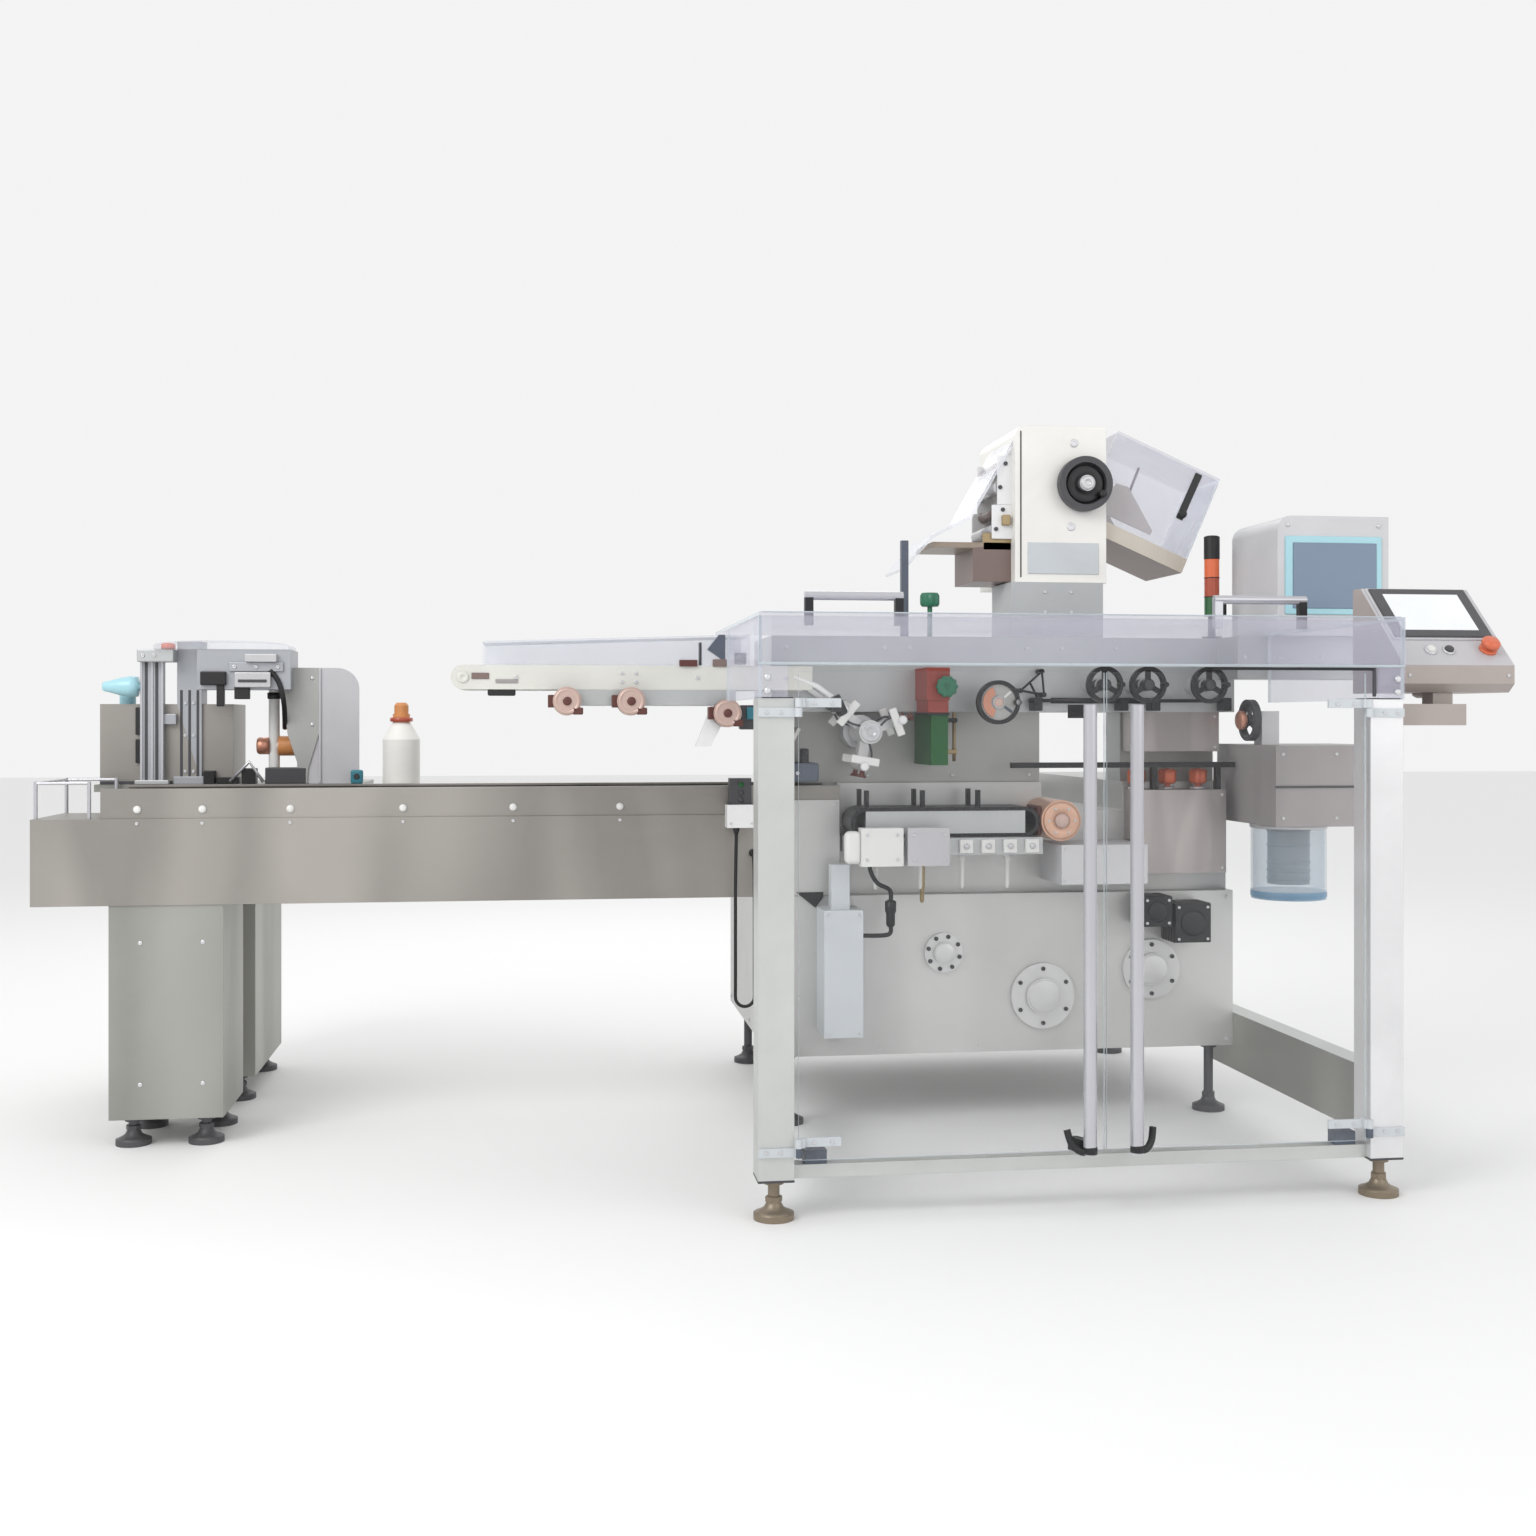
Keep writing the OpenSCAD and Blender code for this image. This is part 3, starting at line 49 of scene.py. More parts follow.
MM = 0.001
MACHINE = "machine"
FLOAT, VECTOR = "NodeSocketFloat", "NodeSocketVector"
Point = tuple[float, float, float]
Colour = tuple[float, float, float]
Profile = Sequence[tuple[float, float]]
Test = Callable[[Vector, Vector], bool]


def linear(colour: Colour) -> tuple[float, float, float, float]:
    """Turns a display colour into the linear one that shaders take.

    Args:
        colour: red, green and blue from 0 to 1 as seen on a display.

    Returns:
        The linear colour with an alpha of 1.
    """
    parts = [c / 12.92 if c <= 0.04045 else ((c + 0.055) / 1.055) ** 2.4 for c in colour]
    return (parts[0], parts[1], parts[2], 1.0)


class Kind(Enum):
    """What a finish is made of."""

    METAL = "metal"
    PAINT = "paint"
    PLASTIC = "plastic"
    CLEAR = "clear"
    LAMP = "lamp"


class Along(Enum):
    """The way that brushing or a pattern runs."""

    X = (1.0, 14.0, 14.0)
    Z = (14.0, 14.0, 1.0)
    EVEN = (1.0, 1.0, 1.0)


@dataclass(frozen=True)
class Finish:
    """One surface finish, with the amounts of each shared effect."""

    kind: Kind
    name: str
    colour: Colour
    rough: float = 0.45
    grain: float = 0.15
    grain_scale: float = 60.0
    along: Along = Along.EVEN
    wear: float = 0.25
    dust: float = 0.15
    mottle: float = 0.06
    alpha: float = 0.12
    edge_r: float = 1.5 * MM
    slats: float = 0.0
    # The sheen amount and scale set bands of painted reflection in the colour.
    sheen: float = 0.0
    sheen_scale: float = 1.0


class Wiring:
    """A node tree while it is wired up."""

    def __init__(self, tree: bpy.types.NodeTree) -> None:
        """Takes the tree that the nodes go into."""
        self.tree = tree

    @classmethod
    def group(cls, name: str, inputs: dict[str, float | None], outputs: Sequence[str]):
        """Starts a shared group with named sockets.

        Args:
            name: name of the group.
            inputs: default of each input, or None for a vector.
            outputs: name of each output. Normal is a vector, and the others are numbers.

        Returns:
            The group's wiring, its input node and its output node.
        """
        tree = bpy.data.node_groups.new(name, "ShaderNodeTree")
        for label, value in inputs.items():
            kind = VECTOR if value is None else FLOAT
            socket = tree.interface.new_socket(label, in_out="INPUT", socket_type=kind)
            if value is not None:
                socket.default_value = value
        for label in outputs:
            kind = VECTOR if label == "Normal" else FLOAT
            tree.interface.new_socket(label, in_out="OUTPUT", socket_type=kind)
        return cls(tree), tree.nodes.new("NodeGroupInput"), tree.nodes.new("NodeGroupOutput")

    def node(self, kind: str, operation: str = "", second: object = None, **values: object) -> bpy.types.Node:
        """Adds a node.

        Args:
            kind: type of the node, without its prefix.
            operation: what a maths node does.
            second: value of the second input of a maths node.
            values: values of named inputs, with _ for a space.

        Returns:
            The node.
        """
        node = self.tree.nodes.new(f"ShaderNode{kind}")
        if operation:
            node.operation = operation
        if second is not None:
            node.inputs[1].default_value = second
        for label, value in values.items():
            node.inputs[label.replace("_", " ")].default_value = value
        return node

    def links(self, *rows: tuple) -> bpy.types.NodeTree:
        """Links nodes and returns the tree. Each row is a node, its output, a node and its input."""
        for source, output, target, entry in rows:
            self.tree.links.new(source.outputs[output], target.inputs[entry])
        return self.tree


class NodeGroups:
    """Shared shader effects, each made once as a node group."""

    def __init__(self) -> None:
        """Makes the groups that the finishes use."""
        self.grain = self._grain()
        self.mottle = self._mottle()
        self.dust = self._dust()
        self.edges = self._edges()
        self.slats = self._slats()
        self.sheen = self._sheen()

    @staticmethod
    def _grain() -> bpy.types.NodeTree:
        """Makes fine grain, drawn out along one axis by the Stretch input."""
        wire, start, end = Wiring.group("brushed_grain", {"Scale": 60.0, "Stretch": None}, ["Height"])
        where, drawn = wire.node("TexCoord"), wire.node("VectorMath", "MULTIPLY")
        noise = wire.node("TexNoise", Detail=5.0, Roughness=0.65)
        return wire.links((where, "Object", drawn, 0), (start, "Stretch", drawn, 1),
                          (drawn, 0, noise, "Vector"), (start, "Scale", noise, "Scale"),
                          (noise, "Fac", end, "Height"))

    @staticmethod
    def _mottle() -> bpy.types.NodeTree:
        """Makes broad, soft patches for handling marks and uneven sheen."""
        wire, start, end = Wiring.group("soft_mottle", {"Scale": 5.0}, ["Mask"])
        where = wire.node("TexCoord")
        noise = wire.node("TexNoise", Detail=6.0, Roughness=0.6, Distortion=0.4)
        spread = wire.node("MapRange", From_Min=0.35, From_Max=0.68)
        return wire.links((where, "Object", noise, "Vector"), (start, "Scale", noise, "Scale"),
                          (noise, "Fac", spread, "Value"), (spread, "Result", end, "Mask"))

    @staticmethod
    def _dust() -> bpy.types.NodeTree:
        """Makes a thin film of dust on faces that look up."""
        wire, start, end = Wiring.group("settled_dust", {"Amount": 0.2}, ["Mask"])
        shape, split, where = wire.node("NewGeometry"), wire.node("SeparateXYZ"), wire.node("TexCoord")
        up = wire.node("MapRange", From_Min=0.45, From_Max=1.0)
        noise = wire.node("TexNoise", Scale=22.0, Detail=8.0)
        both, amount = wire.node("Math", "MULTIPLY"), wire.node("Math", "MULTIPLY")
        return wire.links((shape, "Normal", split, 0), (split, "Z", up, "Value"),
                          (where, "Object", noise, "Vector"), (up, "Result", both, 0),
                          (noise, "Fac", both, 1), (both, 0, amount, 0),
                          (start, "Amount", amount, 1), (amount, 0, end, "Mask"))

    @staticmethod
    def _edges() -> bpy.types.NodeTree:
        """Makes softly rounded edges and a broken mask of wear along them."""
        wire, start, end = Wiring.group("edge_wear", {"Radius": 1.5 * MM, "Amount": 0.3}, ["Mask", "Normal"])
        bevel = wire.node("Bevel")
        bevel.samples = 4
        shape, where = wire.node("NewGeometry"), wire.node("TexCoord")
        dot = wire.node("VectorMath", "DOT_PRODUCT")
        bent = wire.node("MapRange", From_Min=0.995, From_Max=0.80)
        noise = wire.node("TexNoise", Scale=45.0, Detail=6.0)
        broken = wire.node("MapRange", From_Min=0.45, From_Max=0.62)
        both, amount = wire.node("Math", "MULTIPLY"), wire.node("Math", "MULTIPLY")
        return wire.links((start, "Radius", bevel, "Radius"), (bevel, "Normal", dot, 0),
                          (shape, "Normal", dot, 1), (dot, "Value", bent, "Value"),
                          (where, "Object", noise, "Vector"), (noise, "Fac", broken, "Value"),
                          (bent, "Result", both, 0), (broken, "Result", both, 1), (both, 0, amount, 0),
                          (start, "Amount", amount, 1), (amount, 0, end, "Mask"),
                          (bevel, "Normal", end, "Normal"))

    @staticmethod
    def _sheen() -> bpy.types.NodeTree:
        """Makes broad upright bands of painted reflection, like the light that rolled sheet shows."""
        wire, start, end = Wiring.group("rolled_sheen", {"Amount": 0.5, "Scale": 1.0}, ["Mask"])
        where, drawn = wire.node("TexCoord"), wire.node("VectorMath", "MULTIPLY", (2.6, 2.6, 0.55))
        noise = wire.node("TexNoise", Detail=1.5, Distortion=0.6)
        spread = wire.node("MapRange", From_Min=0.40, From_Max=0.66)
        amount = wire.node("Math", "MULTIPLY")
        return wire.links((where, "Object", drawn, 0), (drawn, 0, noise, "Vector"),
                          (start, "Scale", noise, "Scale"), (noise, "Fac", spread, "Value"),
                          (spread, "Result", amount, 0),
                          (start, "Amount", amount, 1), (amount, 0, end, "Mask"))

    @staticmethod
    def _slats() -> bpy.types.NodeTree:
        """Makes thin dark joints across a chain or belt, one per pitch along X."""
        wire, start, end = Wiring.group("chain_slats", {"Pitch": 0.02}, ["Mask"])
        where, split = wire.node("TexCoord"), wire.node("SeparateXYZ")
        turns, part = wire.node("Math", "DIVIDE"), wire.node("Math", "FRACT")
        joint = wire.node("Math", "LESS_THAN", 0.12)
        return wire.links((where, "Object", split, 0), (split, "X", turns, 0), (start, "Pitch", turns, 1),
                          (turns, 0, part, 0), (part, 0, joint, 0), (joint, 0, end, "Mask"))


class FinishShop:
    """Makes each finish's material once and hands it out."""

    DUST: Colour = (0.72, 0.71, 0.69)
    METALLIC = 0.55
    GRAIN_DEPTH = 0.4 * MM
    MIX_LOWER, MIX_UPPER, MIX_RESULT = 6, 7, 2

    def __init__(self) -> None:
        """Makes the shared groups."""
        self.groups = NodeGroups()
        self.made: dict[str, bpy.types.Material] = {}

    def get(self, finish: Finish) -> bpy.types.Material:
        """Gives the material of a finish, making it on first use."""
        if finish.name not in self.made:
            maker = self._clear if finish.kind is Kind.CLEAR else self._solid
            self.made[finish.name] = maker(finish)
        return self.made[finish.name]

    @staticmethod
    def _start(finish: Finish) -> tuple[bpy.types.Material, Wiring, bpy.types.Node]:
        """Starts a material and returns it with its wiring and its shader node."""
        material = bpy.data.materials.new(finish.name)
        material.use_nodes = True
        return material, Wiring(material.node_tree), material.node_tree.nodes["Principled BSDF"]

    @staticmethod
    def _place(wire: Wiring, group: bpy.types.NodeTree, **values: object) -> bpy.types.Node:
        """Places a shared group in a material and sets its inputs."""
        node = wire.node("Group")
        node.node_tree = group
        for label, value in values.items():
            node.inputs[label].default_value = value
        return node

    def _mix(self, wire: Wiring, mask: bpy.types.Node, output: str | int, base: object,
             over: tuple) -> bpy.types.Node:
        """Mixes a colour over another by a mask.

        Args:
            wire: the material's wiring.
            mask: node that says how much of the upper colour shows.
            output: output of that node.
            base: mixing node or colour underneath.
            over: colour on top.

        Returns:
            The mixing node.
        """
        node = wire.node("Mix")
        node.data_type = "RGBA"
        if isinstance(base, tuple):
            node.inputs[self.MIX_LOWER].default_value = base
        else:
            wire.links((base, self.MIX_RESULT, node, self.MIX_LOWER))
        node.inputs[self.MIX_UPPER].default_value = over
        wire.links((mask, output, node, 0))
        return node

    def _solid(self, finish: Finish) -> bpy.types.Material:
        """Makes a metal, painted, plastic or lamp finish."""
        material, wire, shader = self._start(finish)
        base = linear(finish.colour)
        worn = linear(tuple(min(1.0, c * 1.15 + 0.10) for c in finish.colour))

        def shade(amount: float) -> tuple:
            """Gives the base colour made darker or lighter."""
            return tuple(min(1.0, c * amount) for c in base[:3]) + (1.0,)

        mottle = self._place(wire, self.groups.mottle, Scale=4.0)
        soft = wire.node("Math", "MULTIPLY", 0.7)
        wire.links((mottle, "Mask", soft, 0))
        colour = self._mix(wire, soft, 0, base, shade(1.0 - 2.2 * finish.mottle))
        # Painted reflection: broad upright bands of the colour made half again as light.
        if finish.sheen > 0.0:
            sheen = self._place(wire, self.groups.sheen, Amount=finish.sheen, Scale=finish.sheen_scale)
            colour = self._mix(wire, sheen, "Mask", colour, shade(1.5))
        if finish.slats > 0.0:
            slats = self._place(wire, self.groups.slats, Pitch=finish.slats)
            colour = self._mix(wire, slats, "Mask", colour, shade(0.3))
        edges = self._place(wire, self.groups.edges, Radius=finish.edge_r, Amount=finish.wear)
        colour = self._mix(wire, edges, "Mask", colour, worn)
        dust = self._place(wire, self.groups.dust, Amount=finish.dust)
        colour = self._mix(wire, dust, "Mask", colour, linear(self.DUST))
        grain = self._place(wire, self.groups.grain, Scale=finish.grain_scale, Stretch=finish.along.value)
        spread = wire.node("MapRange", To_Min=max(0.05, finish.rough - 0.5 * finish.grain),
                           To_Max=min(1.0, finish.rough + 0.5 * finish.grain))
        bump = wire.node("Bump", Strength=finish.grain, Distance=self.GRAIN_DEPTH)
        wire.links((colour, self.MIX_RESULT, shader, "Base Color"), (grain, "Height", spread, "Value"),
                   (spread, "Result", shader, "Roughness"), (grain, "Height", bump, "Height"),
                   (edges, "Normal", bump, "Normal"), (bump, "Normal", shader, "Normal"))
        if finish.kind is Kind.METAL:
            shader.inputs["Metallic"].default_value = self.METALLIC
        if finish.kind is Kind.PAINT:
            shader.inputs["Coat Weight"].default_value = 0.15
            shader.inputs["Coat Roughness"].default_value = 0.25
        if finish.kind is Kind.LAMP:
            shader.inputs["Coat Weight"].default_value = 0.6
            shader.inputs["Emission Strength"].default_value = 0.12
            wire.links((colour, self.MIX_RESULT, shader, "Emission Color"))
        return material

    def _clear(self, finish: Finish) -> bpy.types.Material:
        """Makes a clear sheet: faint face on, stronger at a glancing view, with handling marks."""
        material, wire, shader = self._start(finish)
        shader.inputs["Base Color"].default_value = linear(finish.colour)
        mottle = self._place(wire, self.groups.mottle, Scale=3.0)
        glance = wire.node("LayerWeight", Blend=0.22)
        base = wire.node("MapRange", To_Min=finish.alpha, To_Max=min(1.0, 2.2 * finish.alpha + 0.12))
        marks = wire.node("Math", "MULTIPLY_ADD", 0.3 * finish.alpha)
        rough = wire.node("MapRange", To_Min=finish.rough, To_Max=finish.rough + 0.10)
        wire.links((glance, "Facing", base, "Value"), (mottle, "Mask", marks, 0), (base, "Result", marks, 2),
                   (marks, 0, shader, "Alpha"), (mottle, "Mask", rough, "Value"),
                   (rough, "Result", shader, "Roughness"))
        return material


# Every finish on the machine. A sheen amount lightens broad upright bands of a finish's colour as painted
# reflections.
metal, paint, plastic, clear, lamp = (
    partial(Finish, kind) for kind in (Kind.METAL, Kind.PAINT, Kind.PLASTIC, Kind.CLEAR, Kind.LAMP))
BODY = metal("satin_body_steel", (0.765, 0.765, 0.76), 0.42, 0.12, 40.0, Along.X, sheen=0.3)
PLATE = metal("satin_plate_steel", (0.74, 0.75, 0.75), 0.40, 0.12, 40.0, Along.X)
SKIRT = metal("warm_skirt_steel", (0.575, 0.56, 0.54), 0.44, 0.14, 36.0, Along.X, sheen=0.8)
PEDESTAL = metal("warm_pedestal_steel", (0.585, 0.585, 0.565), 0.44, 0.14, 36.0, Along.Z, sheen=0.7)
COVER = metal("cover_steel", (0.62, 0.595, 0.59), 0.36, 0.14, 50.0, Along.Z, sheen=0.8, sheen_scale=3.4)
PALE_COVER = paint("pale_cover_paint", (0.78, 0.80, 0.815), 0.40, 0.06, 120.0)
TUBE = metal("polished_tube_steel", (0.76, 0.76, 0.78), 0.24, 0.02, 30.0, Along.Z, wear=0.0, mottle=0.02,
             edge_r=0.05 * MM)
TURNED = metal("turned_steel", (0.79, 0.79, 0.80), 0.32, 0.10, 70.0)
FOOT = metal("foot_steel", (0.36, 0.36, 0.37), 0.50, 0.2, 60.0, wear=0.4)
POST = metal("anodised_post", (0.80, 0.81, 0.80), 0.40, 0.10, 45.0, Along.Z)
ALLOY = metal("feeder_alloy", (0.68, 0.69, 0.71), 0.40, 0.12, 45.0, Along.Z)
ROTOR = metal("rotor_alloy", (0.84, 0.84, 0.84), 0.36, 0.10, 60.0)
WHITE = paint("white_powder_coat", (0.91, 0.91, 0.91), 0.42, 0.10, 260.0, mottle=0.05)
CREAM = paint("cream_rail_paint", (0.84, 0.84, 0.815), 0.38, 0.06, 200.0, mottle=0.05)
# A lighter copy of the post finish for the right post: a painted highlight.
LIT_POST = metal("post_painted_highlight", (0.90, 0.90, 0.905), 0.32, 0.08, 45.0, Along.Z)
CONSOLE = paint("console_powder_coat", (0.67, 0.63, 0.61), 0.45, 0.10, 260.0)
BROWN = paint("brown_tray_paint", (0.48, 0.41, 0.39), 0.45, 0.10, 200.0)
COPPER = metal("copper_motor_cap", (0.80, 0.57, 0.48), 0.36, 0.10, 80.0)
BLACK = plastic("black_moulding", (0.105, 0.105, 0.115), 0.42, 0.16, 320.0, wear=0.15)
DARK = plastic("dark_grey_moulding", (0.27, 0.27, 0.285), 0.45, 0.16, 320.0)
CHAIN = plastic("chain_plastic", (0.29, 0.29, 0.30), 0.52, 0.2, 200.0, slats=19.06 * MM)
CARRIER = metal("carrier_chain", (0.22, 0.22, 0.23), 0.45, 0.2, 120.0, slats=12.7 * MM)
BELT = plastic("ribbed_belt_rubber", (0.24, 0.25, 0.26), 0.7, 0.3, 220.0, slats=5.0 * MM)
NATURAL = plastic("natural_plastic", (0.88, 0.88, 0.87), 0.46, 0.08, 180.0, mottle=0.05)
ORANGE = plastic("orange_plastic", (0.85, 0.43, 0.30), 0.34, 0.08, 260.0, wear=0.1)
RED = plastic("dark_red_plastic", (0.58, 0.25, 0.21), 0.45, 0.1, 200.0)
GREEN = plastic("dark_green_plastic", (0.05, 0.34, 0.13), 0.40, 0.1, 200.0)
RUBBER = plastic("cord_rubber", (0.09, 0.09, 0.095), 0.55, 0.25, 300.0, wear=0.0)
SCREW = metal("bright_screw", (0.84, 0.84, 0.85), 0.30, 0.05, 100.0, edge_r=0.4 * MM)
# A dark strip painted as the shadow inside a panel seam.
SEAM_SHADOW = plastic("shadow_seam", (0.30, 0.30, 0.30), 0.7, 0.1, 200.0, wear=0.0, dust=0.0)
SCREEN = lamp("dark_screen", (0.10, 0.115, 0.14), 0.16, 0.02, 200.0, wear=0.0, dust=0.0)
PANEL = lamp("blue_screen", (0.39, 0.47, 0.56), 0.25, 0.02, 200.0, wear=0.0, dust=0.05)
AMBER = lamp("amber_lens", (0.85, 0.40, 0.22), 0.22, 0.04, 200.0, wear=0.0)
RUST = lamp("red_lens", (0.66, 0.28, 0.18), 0.22, 0.04, 200.0, wear=0.0)
LEAF = lamp("green_lens", (0.13, 0.36, 0.19), 0.22, 0.04, 200.0, wear=0.0)
CYAN = plastic("cyan_cup", (0.66, 0.84, 0.88), 0.25, 0.04, 200.0, wear=0.0)
TEAL = plastic("teal_sensor", (0.22, 0.50, 0.56), 0.30, 0.05, 200.0, wear=0.1)
SHIELD = paint("shield_powder_coat", (0.755, 0.75, 0.765), 0.42, 0.10, 260.0, mottle=0.06)
TAN = metal("tan_brass", (0.66, 0.58, 0.44), 0.36, 0.08, 90.0)
TAUPE = paint("taupe_paint", (0.60, 0.58, 0.58), 0.42, 0.10, 200.0, sheen=0.4, sheen_scale=2.2)
BACK = metal("back_plate_steel", (0.68, 0.68, 0.67), 0.42, 0.12, 40.0, Along.Z)
WARM_WHITE = paint("warm_white_powder_coat", (0.93, 0.925, 0.905), 0.40, 0.10, 260.0, mottle=0.05)
CREAM_DARK = paint("tray_rim_paint", (0.80, 0.77, 0.72), 0.42, 0.10, 200.0)
LIGHT = paint("light_grey_powder_coat", (0.81, 0.81, 0.82), 0.42, 0.10, 260.0)
SLATE = plastic("slate_moulding", (0.33, 0.36, 0.41), 0.45, 0.12, 260.0)
PALE_SCREEN = lamp("pale_screen", (0.90, 0.91, 0.93), 0.20, 0.02, 200.0, wear=0.0, dust=0.0)
STAND = paint("folder_stand_paint", (0.70, 0.71, 0.715), 0.40, 0.06, 120.0)
SHELF = paint("delivery_shelf_paint", (0.60, 0.54, 0.48), 0.42, 0.10, 200.0)
PINK = metal("dusty_motor_cap", (0.80, 0.70, 0.66), 0.44, 0.12, 80.0)
PEACH = metal("peach_motor_shell", (0.86, 0.70, 0.61), 0.40, 0.10, 80.0)
MAROON = plastic("maroon_moulding", (0.36, 0.20, 0.175), 0.45, 0.12, 200.0)
MOTOR = plastic("amber_motor_paint", (0.83, 0.56, 0.34), 0.34, 0.08, 260.0, wear=0.1)
JADE = plastic("jade_plastic", (0.17, 0.44, 0.33), 0.38, 0.1, 200.0)
BRONZE = metal("foot_bronze", (0.56, 0.51, 0.44), 0.42, 0.15, 60.0, wear=0.4)
CORE = metal("ribbed_motor_steel", (0.50, 0.48, 0.47), 0.36, 0.12, 60.0, Along.Z, sheen=0.6)
SHEET = clear("clear_canopy_sheet", (0.80, 0.80, 0.87), 0.10, alpha=0.15)
DOOR = clear("clear_door_sheet", (0.93, 0.94, 0.95), 0.06, alpha=0.012)
HOOD = clear("clear_hood_sheet", (0.88, 0.89, 0.93), 0.10, alpha=0.20)
TINT = clear("blue_bowl_sheet", (0.78, 0.86, 0.92), 0.08, alpha=0.16)
TINT_EDGE = clear("blue_bowl_edge", (0.42, 0.62, 0.76), 0.10, alpha=0.45)
# Whitish, half-opaque edges of the clear sheets: a painted edge highlight.
EDGE_HIGHLIGHT = clear("sheet_edge_highlight", (0.80, 0.84, 0.86), 0.20, alpha=0.55)


SHOP = FinishShop()


def dress(node: str, finish: Finish, *parts: tuple[Finish, Test]) -> None:
    """Gives a solid its finish, with other finishes on chosen faces.

    Args:
        node: name of the solid's node.
        finish: finish of all faces that no test picks.
        parts: finishes and the tests, of a face's middle and normal, that pick their faces.
    """
    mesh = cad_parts[node].data
    mesh.materials.clear()
    for each in (finish, *(part[0] for part in parts)):
        mesh.materials.append(SHOP.get(each))
    for face in mesh.polygons:
        face.material_index = 0
        for number, (_, test) in enumerate(parts, start=1):
            if test(face.center, face.normal):
                face.material_index = number
    LOG.info("dressed %s in %s", node, finish.name)


def dome(width: float, height: float = 8.0) -> list[tuple[float, float]]:
    """Gives the profile of a low domed head that stands on a face.

    Args:
        width: width of the head in millimetres.
        height: height of the head in millimetres.

    Returns:
        Radius and distance of each ring.
    """
    r = width / 2
    rings = ((1.0, 0.35), (0.86, 0.68), (0.5, 0.93))
    return [(r, -0.5), *((a * r, b * height) for a, b in rings), (0.08 * r, height)]


def spots(xs: Iterable[float], ys: Iterable[float], zs: Iterable[float]) -> list[Point]:
    """Gives every point of a grid.

    Args:
        xs: places along x.
        ys: places along y.
        zs: places along z.

    Returns:
        The points.
    """
    return list(product(xs, ys, zs))


def circle(middle: Point, radius: float, degrees: Iterable[float]) -> list[Point]:
    """Gives points on an upright circle, as seen from the front.

    Args:
        middle: middle of the circle.
        radius: radius of the circle.
        degrees: turn of each point from the right.

    Returns:
        The points.
    """
    x, y, z = middle
    turns = [math.radians(d) for d in degrees]
    return [(x + radius * math.cos(a), y, z + radius * math.sin(a)) for a in turns]


